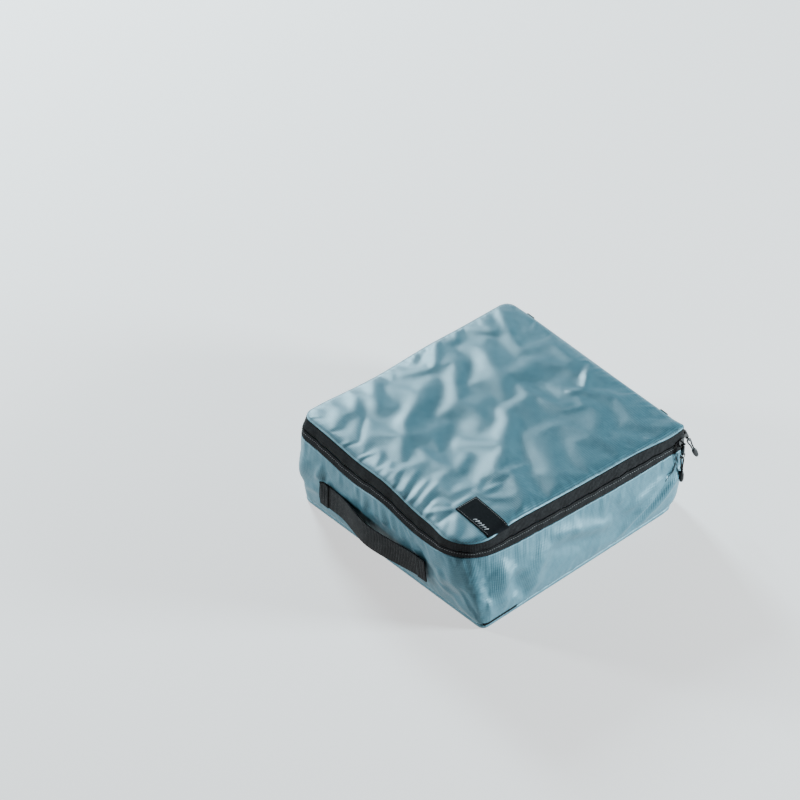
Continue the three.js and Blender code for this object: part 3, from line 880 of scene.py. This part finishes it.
# Short tucks that run out of the label's corners and off the front seam
LID_TUCKS = [
    (81, -85, 62, -62, 1.9, 3.0), (81, -85, 85, -56, 1.5, 2.6), (82, -84, 102, -70, 1.2, 3.0),
    (78, -80, 72, -58, -1.2, 2.6), (88, -80, 93, -62, -1.0, 2.6), (80, -88, 79, -112, 1.5, 2.2),
    (82, -114, 66, -139, 2.0, 3.4), (85, -115, 86, -140, -1.8, 3.0), (90, -116, 112, -139, 2.4, 4.2),
    (104, -118, 126, -134, -1.4, 4.0), (74, -112, 60, -124, 1.4, 3.4), (54, -139, 44, -100, 1.8, 3.4),
    (62, -139, 56, -108, -1.4, 3.0), (45, -139, 33, -106, 1.7, 3.2), (38, -139, 28, -118, -1.3, 3.0),
    (32, -139, 16, -104, 1.8, 3.6), (22, -139, 10, -116, -1.3, 3.0), (14, -139, 2, -110, 1.6, 3.4),
    (3, -139, -12, -114, 1.3, 3.6), (-14, -138, -28, -114, 1.2, 4.0), (-36, -138, -46, -122, 0.9, 3.6),
    (-60, -138, -68, -122, 0.8, 3.6), (-84, -138, -90, -124, 0.8, 3.6), (-12, -60, 18, -74, 1.0, 4.0),
    (-129, 14, -116, -6, 1.2, 3.0), (-128, 66, -112, 54, 1.3, 3.2), (-126, -24, -108, -34, 1.3, 3.4),
    (-130, -74, -112, -84, 1.4, 3.6), (-131, 106, -112, 100, 1.1, 3.4), (130, -52, 118, -46, 0.9, 2.6),
    (131, 20, 120, 26, 0.8, 2.6), (131, 62, 120, 66, 0.8, 2.6), (131, 100, 120, 104, 0.9, 2.6),
    (128, 130, 112, 118, 1.3, 4.0), (120, 138, 104, 130, -1.1, 3.4),
]


def label_cover(x, y, margin):
    """1 over the label, falling to 0 a margin outside it."""
    out_x = np.maximum(np.maximum(LABEL_X[0] - x, x - LABEL_X[1] - LABEL_SHADOW), 0)
    out_y = np.maximum(np.maximum(LABEL_Y[0] - y, y - LABEL_Y[1]), 0)
    return 1 - ease(np.hypot(out_x, out_y), 0, margin)


def seam_tucks(distance):
    """The gathers along the lid seam, about -1 to 1."""
    slow = waves(distance, (1, 83 * MM, 0.2), (0.6, 37 * MM, 0.7))
    quick = waves(distance, (0.5, 9.1 * MM, 0.1), (0.45, 6.7 * MM, 0.5), (0.4, 13.7 * MM, 0.3))
    return quick * (0.75 + 0.25 * slow)


def crown(x, y):
    """How far the stuffed lid rises above its seam."""
    across = 1 - np.clip(np.abs(x) / HALF_WIDTH, 0, 1) ** 3.0
    along = 1 - np.clip(np.abs(y) / HALF_DEPTH, 0, 1) ** 3.0
    return LID_CROWN * across * along


def noise_over(first, second, scale, seed):
    """Two octaves of smooth noise over a plane."""
    points = np.stack([first, second, np.zeros_like(first)], -1)
    return field(points.reshape(-1, 3), scale, seed, 2).reshape(first.shape)


def lid_points(reach, distance):
    """The lid's surface, where reach is 0 in its middle and 1 on its seam, at the distance walked."""
    rim = band_point(distance, np.ones_like(distance))
    points = rim.copy()
    points[..., :2] *= reach[..., None]
    x, y = points[..., 0], points[..., 1]
    inset = (1 - reach) * np.linalg.norm(rim[..., :2], axis=-1)
    height = LID_SEAM + (rim[..., 2] - LID_SEAM) * reach ** 5
    height = height + crown(x, y)
    height = height + SHOULDER_HEIGHT * (1 - np.exp(-inset / SHOULDER_WIDTH)) * ease(reach, 0.2, 0.8)
    near_seam = np.exp(-inset / GATHER_REACH) * ease(inset, 0, 1.2 * MM)
    front_share = 1.0 + 0.3 * hump(distance, on_front(170 * MM), 110 * MM)
    bare = 1 - label_cover(x, y, 5 * MM)
    height = height + GATHER_HEIGHT * seam_tucks(distance) * near_seam * front_share * bare
    across = x * FOLD_WAY[1] - y * FOLD_WAY[0]
    along = x * FOLD_WAY[0] + y * FOLD_WAY[1]
    streaks = noise_over(across, along / 2.4, STREAK_LENGTH, 3)
    sway = noise_over(x, y, SWAY_LENGTH, 5)
    folds = ridges(x + 4 * MM * sway, y - 3 * MM * sway, LID_FOLDS)
    tucks = ridges(x + 1.2 * MM * sway, y, LID_TUCKS)
    height = height + ease(inset, 0, 9 * MM) * bare * (STREAK_HEIGHT * streaks + FOLD_SHARE * folds)
    points[..., 2] = height + TUCK_SHARE * ease(inset, 0, 2 * MM) * bare * tucks
    return points


def lid_grid():
    """Each lid point's reach and distance walked, on square rings from the middle to the seam."""
    uu, vv = spread_grid(-1, 1, LID_ACROSS, -1, 1, LID_ALONG)
    reach = np.maximum(np.abs(uu), np.abs(vv))
    safe = np.where(reach < 1e-9, 1, reach)
    a, b = uu / safe, vv / safe
    right = np.interp(-b, [-1, 1], [CORNER_R, CORNER_F])
    front = np.interp(-a, [-1, 1], [CORNER_F, CORNER_L])
    left = np.interp(b, [-1, 1], [CORNER_L, CORNER_B])
    rear = np.mod(np.interp(a, [-1, 1], [CORNER_B, CORNER_R + ROUND]), ROUND)
    sides = np.where(a > 0, right, left)
    ends = np.where(b > 0, rear, front)
    return reach, np.where(np.abs(a) >= np.abs(b), sides, ends)


def add_lid():
    reach, distance = lid_grid()
    points = lid_points(reach, distance)
    flat = points.reshape(-1, 3)
    lid = make_object("lid_fabric", flat, grid_faces(LID_ALONG, LID_ACROSS), SHELL, flat[:, :2])
    covered = label_cover(flat[:, 0], flat[:, 1], 3 * MM)
    edge_pins = 0.12 + 0.88 * (1 - ease(1 - reach.ravel(), 0.0, 0.03))
    settle(lid, np.maximum(edge_pins, covered), frames=14, slack=0.004, lift=0.2, bending=14.0)
    refine(lid, 1, CLOTH_THICKNESS)
    finish_piece(lid, ["lid_panel"], blend=LID_BLEND)
    return lid


def surface_lookup(obj):
    """A tree of the finished mesh, to find where a line meets it."""
    data = obj.data
    return BVHTree.FromPolygons([v.co for v in data.vertices], [p.vertices[:] for p in data.polygons])


LID_TREE = surface_lookup(add_lid())
DOWN = Vector((0, 0, -1))


def on_lid(x, y, lift=0.0):
    """The point on the finished lid under (x, y)."""
    hit = LID_TREE.ray_cast(Vector((x, y, 1.0)), DOWN)[0]
    return np.array([x, y, (hit.z if hit else LID_SEAM) + lift])


# ---------------------------------------------------------------- label

STITCH_RADIUS = 0.2 * MM
LABEL_STITCH_PITCH = 2.3 * MM
LABEL_STITCH_INSET = 1.6 * MM
LABEL_STITCH_STEPS = (0, 0.5 * MM, 1.0 * MM, 1.5 * MM)
LABEL_STITCH_LIFT = 0.85 * MM


def label_stitches():
    """Short stitches along the label's two long edges and its left edge."""
    stitches = []
    for y in (LABEL_Y[0] + LABEL_STITCH_INSET, LABEL_Y[1] - LABEL_STITCH_INSET):
        for x in np.arange(LABEL_X[0] + 2 * MM, LABEL_X[1] - 2 * MM, LABEL_STITCH_PITCH):
            stitches.append([on_lid(x + step, y, LABEL_STITCH_LIFT) for step in LABEL_STITCH_STEPS])
    x = LABEL_X[0] + LABEL_STITCH_INSET
    for y in np.arange(LABEL_Y[0] + 2.6 * MM, LABEL_Y[1] - 3 * MM, LABEL_STITCH_PITCH):
        stitches.append([on_lid(x, y + step, LABEL_STITCH_LIFT) for step in LABEL_STITCH_STEPS])
    return stitches


def label_bars():
    """Plain slanted bars, which stand in for the label's lettering."""
    bars = []
    for i in range(6):
        x = LABEL_X[0] + (24 + 3.4 * i) * MM
        y = LABEL_Y[0] + 5.2 * MM
        rise = (1.6 + 0.5 * (i % 2)) * MM
        bars.append([on_lid(x + s * 1.1 * MM, y + s * rise, 0.8 * MM) for s in (-1, -0.3, 0.3, 1)])
    return bars


def add_label():
    x, y = spread_grid(*LABEL_X, 26, *LABEL_Y, 15)
    points = np.array([on_lid(px, py, 0.25 * MM) for px, py in zip(x.ravel(), y.ravel())])
    label = make_object("side_label_woven", points, grid_faces(*x.shape), LABEL, points[:, :2])
    refine(label, 1, 0.5 * MM, 1.0)
    finish_piece(label, ["side_label"], "lid")
    threads = tubes("label_stitches", label_stitches(), STITCH_RADIUS, GREY_THREAD, 5)
    finish_piece(threads, (), "lid")
    mark = tubes("label_woven_bars", label_bars(), 0.5 * MM, PALE_THREAD, 6)
    finish_piece(mark, (), "lid")


add_label()

# ---------------------------------------------------------------- zip

BAND_HEIGHT = LID_SEAM - WALL_TOP
TAPE_SHARE = (ZIP_LINE - TAPE_EDGE - WALL_TOP) / BAND_HEIGHT
TAPE_WIDTH = 11.2 * MM
COIL_PITCH = 2.2 * MM
COIL_RADIUS = 0.85 * MM
COIL_GAP = 1.6 * MM
COIL_DEPTH = 2.2 * MM


def strip(name, start, end, low, high, out, material, *, rows, step, thickness, shape=None):
    """A tape along the walk from start to end, between two heights, at a distance out from the side."""
    closed = end - start >= ROUND - 1 * MM
    columns = int((end - start) / step)
    d = np.linspace(start, end, columns, endpoint=not closed)
    dd, vv = np.meshgrid(d, np.linspace(0, 1, rows), indexing="xy")
    points = shape(dd, vv) if shape else side_point(dd, low + (high - low) * vv, out)
    obj = make_sheet(name, points, material, dd, (high - low) * vv, closed)
    refine(obj, 0, thickness)
    return obj


def lower_tape(d, v):
    """The tape below the meeting line. Its folded edge beside that line stands a little proud."""
    lip = 0.35 * MM * ease(v, 0.8, 1.0) - 0.5 * MM * (1 - ease(v, 0.0, 0.15))
    return band_point(d, -0.02 + (TAPE_SHARE + 0.02) * v, lip)


def upper_tape(d, v):
    """The tape above the meeting line, a little gathered where the lid is sewn to it."""
    tucks = 0.25 * MM * seam_tucks(d) * ease(v, 0.5, 1.0) * (1 - hump(d, CORNER_R, 30 * MM))
    lip = 0.35 * MM * (1 - ease(v, 0.0, 0.2))
    return band_point(d, (1 - TAPE_SHARE) + (TAPE_SHARE + 0.01) * v, lip + tucks)


def upper_nodes(kind):
    """The CAD nodes of the upper tape or coil: the stretch on the lid, and its two ends."""
    return [f"zip_{kind}_upper{end}" for end in ("", "_end_right", "_end_left")]


def add_tape(name, shape, nodes, body=None, blend=None):
    tape = strip(
        name, ZIP_END, ROUND - ZIP_END, 0, TAPE_WIDTH, 0, TAPE,
        rows=8, step=1.6 * MM, thickness=0.8 * MM, shape=shape,
    )
    finish_piece(tape, nodes, body, blend)


def add_stitch_row(name, rise, out, pitch, length, radius, material):
    """A row of stitches along the zip band, in from both of its ends."""
    rows = []
    for i, start in enumerate(np.arange(ZIP_END + 8 * MM, ROUND - ZIP_END - 8 * MM, pitch)):
        shake = 0.003 * math.sin(i * 2.4)
        spots = np.linspace(start, start + length, 4)
        lift = out + np.array([-0.1, 0.12, 0.12, -0.1]) * MM
        rows.append(band_point(spots, np.full(4, rise + shake), lift))
    finish_piece(tubes(name, rows, radius, material, 5), (), "root")


def add_coil(name, side, nodes, body=None, blend=None):
    """The zip's nylon coil, wound as a spiral along the tape's inner edge. side is -1 low, 1 high."""
    steps = int((ROUND - 2 * ZIP_END) / COIL_PITCH) * 8
    d = np.linspace(ZIP_END, ROUND - ZIP_END, steps)
    angle = np.arange(steps) * 2 * np.pi / 8
    rise = 0.5 + (side * COIL_GAP + COIL_RADIUS * np.cos(angle)) / BAND_HEIGHT
    path = band_point(d, rise, -COIL_DEPTH + 0.75 * MM * np.sin(angle))
    coil = tubes(name, [path], 0.3 * MM, COIL, 4)
    finish_piece(coil, nodes, body, blend)


def add_lid_seam_stitches():
    stitches = []
    for start in np.arange(ZIP_END + 40 * MM, ROUND - ZIP_END - 40 * MM, 3.1 * MM):
        spots = band_point(np.linspace(start, start + 2.0 * MM, 4), np.ones(4), -1.9 * MM)
        stitches.append([on_lid(x, y, 0.12 * MM) for x, y in spots[:, :2]])
    dark_tubes = tubes("lid_seam_stitches", stitches, STITCH_RADIUS, DARK_THREAD_AND_SHADE, 5)
    finish_piece(dark_tubes, (), blend=LID_BLEND)


def add_zip():
    add_tape("zip_tape_lower_woven", lower_tape, ["zip_tape_lower"], "root")
    add_tape("zip_tape_upper_woven", upper_tape, upper_nodes("tape"), blend=ZIP_BLEND)
    add_stitch_row("zip_stitches_lower", 0.335, 0.25 * MM, 2.7 * MM, 1.6 * MM, 0.26 * MM, GREY_THREAD)
    add_stitch_row("wall_seam_stitches", 0.07, 0.1 * MM, 3.0 * MM, 2.1 * MM, STITCH_RADIUS, DARK_THREAD_AND_SHADE)
    add_coil("zip_coil_lower_wound", -1, ["zip_coil_lower"], "root")
    add_coil("zip_coil_upper_wound", 1, upper_nodes("coil"), blend=ZIP_BLEND)
    add_lid_seam_stitches()


add_zip()

# ---------------------------------------------------------------- walls and base

# Folds of the front wall and the right wall: start, end, height and half-width, in millimetres.
# Each place is the distance along the wall from its first corner, and the height.
FRONT_FOLDS = [
    (112, 71, 104, 50, 1.6, 3.0), (120, 71, 113, 53, -1.2, 2.8), (129, 72, 123, 50, 1.5, 3.0),
    (138, 73, 132, 48, 1.9, 3.4), (146, 72, 141, 50, -1.4, 2.8), (153, 71, 149, 52, 1.5, 3.0),
    (164, 68, 160, 50, 1.0, 3.0), (100, 70, 90, 54, 1.0, 4.0), (46, 64, 36, 44, 1.8, 3.2),
    (54, 60, 44, 43, -1.5, 3.4), (24, 62, 8, 26, 1.8, 8), (36, 30, 14, 22, 1.2, 5),
    (216, 52, 203, 34, 2.0, 5), (262, 88, 214, 30, 1.8, 9), (250, 62, 198, 10, -1.5, 9),
    (236, 84, 198, 48, 1.3, 7), (62, 14, 24, 8, 1.3, 7), (190, 62, 186, 40, -1.2, 4),
    (194, 32, 226, 8, 1.3, 7), (232, 40, 250, 12, -1.3, 8), (76, 66, 60, 52, 0.9, 5),
    (176, 66, 176, 44, 1.0, 3), (84, 10, 130, 8, 1.0, 7),
]
RIGHT_FOLDS = [
    (48, 66, 60, 10, 2.4, 11), (62, 44, 86, 8, -2.8, 11), (102, 66, 96, 6, 2.2, 11),
    (68, 20, 82, 5, 1.6, 5), (104, 68, 192, 38, 1.7, 8), (118, 46, 204, 18, -1.4, 9),
    (180, 68, 184, 50, 0.9, 4), (202, 68, 206, 52, 0.8, 4), (214, 40, 264, 54, 1.4, 6),
    (210, 8, 262, 48, 2.2, 6), (226, 4, 272, 46, -1.8, 5), (240, 2, 284, 50, 2.0, 6),
    (265, 48, 275, 60, -2.6, 2.0), (275, 60, 277, 72, -2.4, 1.8), (281, 50, 285, 70, -2.2, 1.8),
    (270, 52, 280, 64, 1.6, 2.4), (20, 72, 40, 18, -1.6, 11), (140, 70, 150, 48, 0.8, 6),
    (30, 30, 44, 8, 1.4, 6), (160, 30, 214, 10, 1.0, 8),
]
FOLDS_OUT = 1.7
SOFT_HEIGHT = 2.1 * MM
DRAPE_HEIGHT = 0.7 * MM
FINE_HEIGHT = 0.22 * MM
TOP_GATHERS = 1.1 * MM
LOW_GATHERS = 0.5 * MM
SHELF = 1.3 * MM
WALL_FLAP = 0.3 * MM
REAR_COLUMNS = 84
FLOOR_GAP = 0.42 * MM
# The base's lip, from the seam down and in: how far out in millimetres, and its share of the height
BASE_LIP = [(-1.0, 1.0), (-0.4, 0.72), (-0.4, 0.42), (-1.2, 0.18), (-2.8, 0.05), (-6.0, 0.0)]
BASE_COLUMNS = 300
# Two lines of painted shade on the right wall, for two deep creases, as distance along it and height, in
# millimetres
CREASE_SHADOW_LINES = [
    [(264, 46), (268, 51), (273, 53), (275, 60), (277, 72)],
    [(281, 50), (283, 56), (282, 62), (285, 70)],
]


def wall_sheet(name, start, end, columns, rows, top):
    """A stretch of the walls between the base seam and the given height, with its folds."""
    dd, vv = spread_grid(start, end, columns, 0, 1, rows)
    floor = BASE_SEAM + SHELF * (0.3 + 0.7 * hump(dd, CORNER_F - 42 * MM, 62 * MM))
    height = floor + (top - floor) * vv
    front_t = MARKS[5] - dd + LEFT_FRONT_RADIUS
    right_t = MARKS[3] - dd + RIGHT_FRONT_RADIUS
    folds = ridges(front_t, height, FRONT_FOLDS) + ridges(right_t, height, RIGHT_FOLDS)
    flat = side_point(dd, height).reshape(-1, 3)
    soft = SOFT_HEIGHT * field(flat * (1, 1, 0.9), 46 * MM, 7, 2).reshape(dd.shape)
    soft += DRAPE_HEIGHT * noise_over(dd + 0.9 * height, 0.35 * (height - dd), 27 * MM, 13)
    fine = FINE_HEIGHT * field(flat * (1, 1, 0.6), 11 * MM, 11, 2).reshape(dd.shape)
    loose = np.sin(np.pi * vv) ** 0.6
    near_top = np.exp(-(top - height) / (9 * MM)) * ease(top - height, 0, 1.5 * MM)
    near_floor = np.exp(-(height - floor) / (6 * MM)) * ease(height - floor, 0, 1 * MM)
    gathers = TOP_GATHERS * seam_tucks(dd + 5 * MM) * near_top
    gathers += LOW_GATHERS * seam_tucks(dd * 0.7) * near_floor
    points = side_point(dd, height, (FOLDS_OUT * folds + soft + fine) * loose + gathers)
    obj = make_sheet(name, points, SHELL, dd, height)
    edge = np.minimum(vv, 1 - vv)
    side = np.minimum(dd - start, end - dd)
    held = np.maximum(1 - ease(edge, 0, 0.06), 1 - ease(side, 0, 3 * MM))
    settle(obj, (0.35 + 0.65 * held).ravel(), frames=12, slack=0.006, lift=0.2, bending=6.0)
    return obj


def trim_rear(rear):
    """Cuts off the back wall's upper corners, outside the zip's ends, where the zip band takes over."""
    spare = []
    for vertex in rear.data.vertices:
        d = GUSSET_END * (2 * (vertex.index % REAR_COLUMNS) / (REAR_COLUMNS - 1) - 1)
        if abs(d) > ZIP_END + 1 * MM and vertex.co.z > WALL_TOP + 1.5 * MM:
            spare.append(vertex.index)
    work = bmesh.new()
    work.from_mesh(rear.data)
    work.verts.ensure_lookup_table()
    bmesh.ops.delete(work, geom=[work.verts[i] for i in spare], context="VERTS")
    work.to_mesh(rear.data)
    work.free()


def finish_wall(wall, node):
    refine(wall, 1, CLOTH_THICKNESS)
    finish_piece(wall, [node], "root")


def add_walls():
    gusset = wall_sheet("gusset_fabric", GUSSET_END, ROUND - GUSSET_END, 300, 27, WALL_TOP + WALL_FLAP)
    finish_wall(gusset, "main_gusset")
    rear = wall_sheet("back_fabric", -GUSSET_END, GUSSET_END, REAR_COLUMNS, 36, LID_SEAM)
    trim_rear(rear)
    finish_wall(rear, "back_panel")
    return gusset


def add_base():
    """The base panel: its lip rolls up to the seam, and its middle lies flat."""
    d = np.linspace(0, ROUND, BASE_COLUMNS, endpoint=False)
    place, normal = base_plan(d)
    shake = 0.35 * MM * seam_tucks(d * 0.8)
    rings = []
    for out, share in BASE_LIP:
        xy = place + normal * (out * MM + shake * share)[..., None]
        wave = 0.45 * MM * seam_tucks(d * 0.6 + 9 * MM) * share * (share > 0.9)
        height = np.maximum((BASE_SEAM - 0.2 * MM) * share + wave, FLOOR_GAP)
        rings.append(np.concatenate([xy, height[..., None]], -1))
    centre = place.mean(axis=0)
    inner = rings[-1][:, :2]
    for scale in (0.9, 0.75, 0.55, 0.35, 0.15):
        xy = centre + (inner - centre) * scale
        rings.append(np.concatenate([xy, np.full((BASE_COLUMNS, 1), FLOOR_GAP)], -1))
    points = np.array(rings).reshape(-1, 3)
    faces = [tuple(face) for face in grid_faces(len(rings), BASE_COLUMNS, True)]
    faces.append(tuple(range(len(points) - BASE_COLUMNS, len(points))))
    base = make_object("base_fabric", points, faces, SHELL, points[:, :2])
    refine(base, 0, CLOTH_THICKNESS, 1.0)
    finish_piece(base, ["base_panel"], "root")


def add_crease_shadow_lines():
    """Two thin dark tubes of painted shade on the right wall below the parked slider, where two deep creases
    fall.
    """
    paths = []
    for crease_line in CREASE_SHADOW_LINES:
        steps = np.linspace(0, len(crease_line) - 1, 14)
        t, height = (np.interp(steps, range(len(crease_line)), values) * MM for values in zip(*crease_line))
        paths.append(side_point(on_right(t), height, 0.9 * MM))
    # Painted shade: dark tubes that stand for the shadow of two deep creases.
    dark_tubes = tubes("crease_shadow_lines", paths, 0.4 * MM, DARK_THREAD_AND_SHADE, 6)
    finish_piece(dark_tubes, (), "root")


WALL_TREE = surface_lookup(add_walls())
add_base()
add_crease_shadow_lines()

# ---------------------------------------------------------------- bindings and zip end tabs

INSIDE = -1.6 * MM
BASE_BINDING_IN = -4.2 * MM
LID_BINDING_START = 42 * MM
HINGE_BINDING_HALF = 96 * MM
CORNER_BINDING_HALF = 4 * MM


def add_binding(node, start, end, out=INSIDE, body="root", low=None):
    """A binding tape at its CAD node's height, or from a higher low edge, moved out from the side."""
    node_low, node_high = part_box(node)
    low = node_low.z if low is None else low
    tape = strip(
        f"{node}_tape", start, end, low, node_high.z, out, BINDING,
        rows=4, step=3 * MM, thickness=0.9 * MM,
    )
    finish_piece(tape, [node], body)


def add_binding_edge():
    """The stretch of the base binding that shows outside, as a dark line by the front corner."""
    low, high = BASE_SEAM - 0.9 * MM, BASE_SEAM + 1.7 * MM
    edge = strip(
        "base_binding_edge", on_right(76 * MM), on_right(8 * MM), low, high, 0.1 * MM, BINDING,
        rows=4, step=1.5 * MM, thickness=0.7 * MM,
    )
    finish_piece(edge, (), "root")


def add_end_tab(side, middle):
    """A folded scrap of tape over one end of the zip."""
    tab = strip(
        f"zip_end_tab_{side}_folded", middle - TAB_HALF, middle + TAB_HALF, WALL_TOP - 1 * MM, LID_SEAM,
        1.5 * MM, BINDING, rows=10, step=1 * MM, thickness=1.1 * MM,
    )
    finish_piece(tab, [f"zip_end_tab_{side}"], "root")


add_binding("gusset_binding", ZIP_END, ROUND - ZIP_END)
lid_binding_start = ZIP_END + LID_BINDING_START
add_binding("lid_binding", lid_binding_start, ROUND - lid_binding_start, body="lid")
add_binding("hinge_binding", -HINGE_BINDING_HALF, HINGE_BINDING_HALF)
add_binding("base_binding", 0, ROUND, BASE_BINDING_IN, low=BASE_SEAM + 0.5 * MM)
add_binding_edge()
for side, sign in (("right", 1), ("left", -1)):
    corner = sign * GUSSET_END
    add_binding(f"corner_binding_{side}", corner - CORNER_BINDING_HALF, corner + CORNER_BINDING_HALF)
    add_end_tab(side, sign * ZIP_END)

# ---------------------------------------------------------------- webbing handle

END_LENGTH = 12 * MM
INWARD = Vector((0, 1, 0))
# The photo shows the strap a little to the right of its CAD solid and above it
STRAP_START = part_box("handle_end_left")[0].x + 4 * MM
STRAP_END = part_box("handle_end_right")[1].x + 7 * MM
STRAP_SPAN = STRAP_END - STRAP_START
STRAP_WIDTH = HANDLE_HIGH.z - HANDLE_LOW.z
STRAP_MIDDLE = (HANDLE_LOW.z + HANDLE_HIGH.z) / 2
STRAP_RISE = (6.2 * MM, 6.4 * MM)
STRAP_BOW = 8 * MM
STRAP_DROP = 2 * MM
STRAP_GAP = 1.4 * MM
END_GAP = 2.3 * MM
STITCH_GAP = 3.15 * MM
STRAP_TUCKED = 2 * MM / STRAP_SPAN
WALL_SPOTS = 420
# The strap lies on the wall's highest fold within this distance to either side
FOLD_ASIDE = 5 * MM


def front_wall_y(x, height):
    """How far forward the front wall stands at (x, height), with the folds beside it."""
    d = np.linspace(MARKS[3] - 30 * MM, MARKS[6] + 10 * MM, WALL_SPOTS)
    out = np.empty(len(x))
    for i, (px, pz) in enumerate(zip(x, height)):
        spots = side_point(d, np.full_like(d, pz), 1.2 * MM)
        order = np.argsort(spots[:, 0])
        out[i] = np.interp(px, spots[order, 0], spots[order, 1])
        for aside in (-FOLD_ASIDE, 0, FOLD_ASIDE):
            hit = WALL_TREE.ray_cast(Vector((px + aside, -1, pz)), INWARD)[0]
            out[i] = min(out[i], hit.y) if hit else out[i]
    return out


def strap_points(s, v, gap):
    """The strap, where s runs along it from 0 to 1, v up it, and gap is its distance off the wall."""
    x = STRAP_START + STRAP_SPAN * s
    bow = np.where(s < 0.5, ease(s, 0.16, 0.5), 1 - ease(s, 0.5, 1.0))
    resting = STRAP_MIDDLE + STRAP_RISE[0] * (1 - s) + STRAP_RISE[1] * s + (v - 0.5) * STRAP_WIDTH
    y = front_wall_y(x.ravel(), resting.ravel()).reshape(x.shape)
    curl = 0.7 * MM * (2 * v - 1) ** 2 * bow
    lean = 1.2 * MM * (0.5 - v) * bow
    return np.stack([x, y - gap - STRAP_BOW * bow + curl - lean, resting - STRAP_DROP * bow], -1)


def webbing(name, s, v, gap, thickness):
    """A stretch of webbing over a grid of places on the strap."""
    points = strap_points(s, v, gap)
    obj = make_sheet(name, points, WEBBING, s * STRAP_SPAN, v * STRAP_WIDTH)
    return refine(obj, 1, thickness, 0.0)


def add_strap_half(side, s0, s1, fixed_end, free_from, free_to):
    """Half of the strap, with its transform baked in where it stands."""
    s, v = spread_grid(s0, s1, 60, 0, 1, 9)
    strap = webbing(f"handle_webbing_{side}", s, v, STRAP_GAP, 1.4 * MM)
    blend = ("root", "handle", (fixed_end + free_from, 0, 0), (fixed_end + free_to, 0, 0))
    finish_piece(strap, ["handle_grip"], blend=blend)


def add_strap_end(side, s0, s1):
    """One folded end of the strap, sewn down by three rows of stitches."""
    s, v = spread_grid(s0, s1, 14, -0.01, 1.01, 12)
    end = webbing(f"handle_end_{side}_folded", s, v, END_GAP, 1.5 * MM)
    finish_piece(end, [f"handle_end_{side}"], "root")
    stitches = []
    for row in (0.2, 0.5, 0.8):
        across = np.full(4, s0 + (s1 - s0) * row)
        for low in np.arange(0.06, 0.92, 0.075):
            stitches.append(strap_points(across, np.linspace(low, low + 0.05, 4), STITCH_GAP))
    dark_tubes = tubes(f"handle_stitches_{side}", stitches, 0.22 * MM, DARK_THREAD_AND_SHADE, 5)
    finish_piece(dark_tubes, (), "root")


def add_handle():
    add_strap_half("left", STRAP_TUCKED, 0.5, STRAP_START, 32 * MM, 70 * MM)
    add_strap_half("right", 0.5, 1 - STRAP_TUCKED, STRAP_END, -20 * MM, -65 * MM)
    end_share = END_LENGTH / STRAP_SPAN
    add_strap_end("left", 0, end_share)
    add_strap_end("right", 1 - end_share, 1)


add_handle()
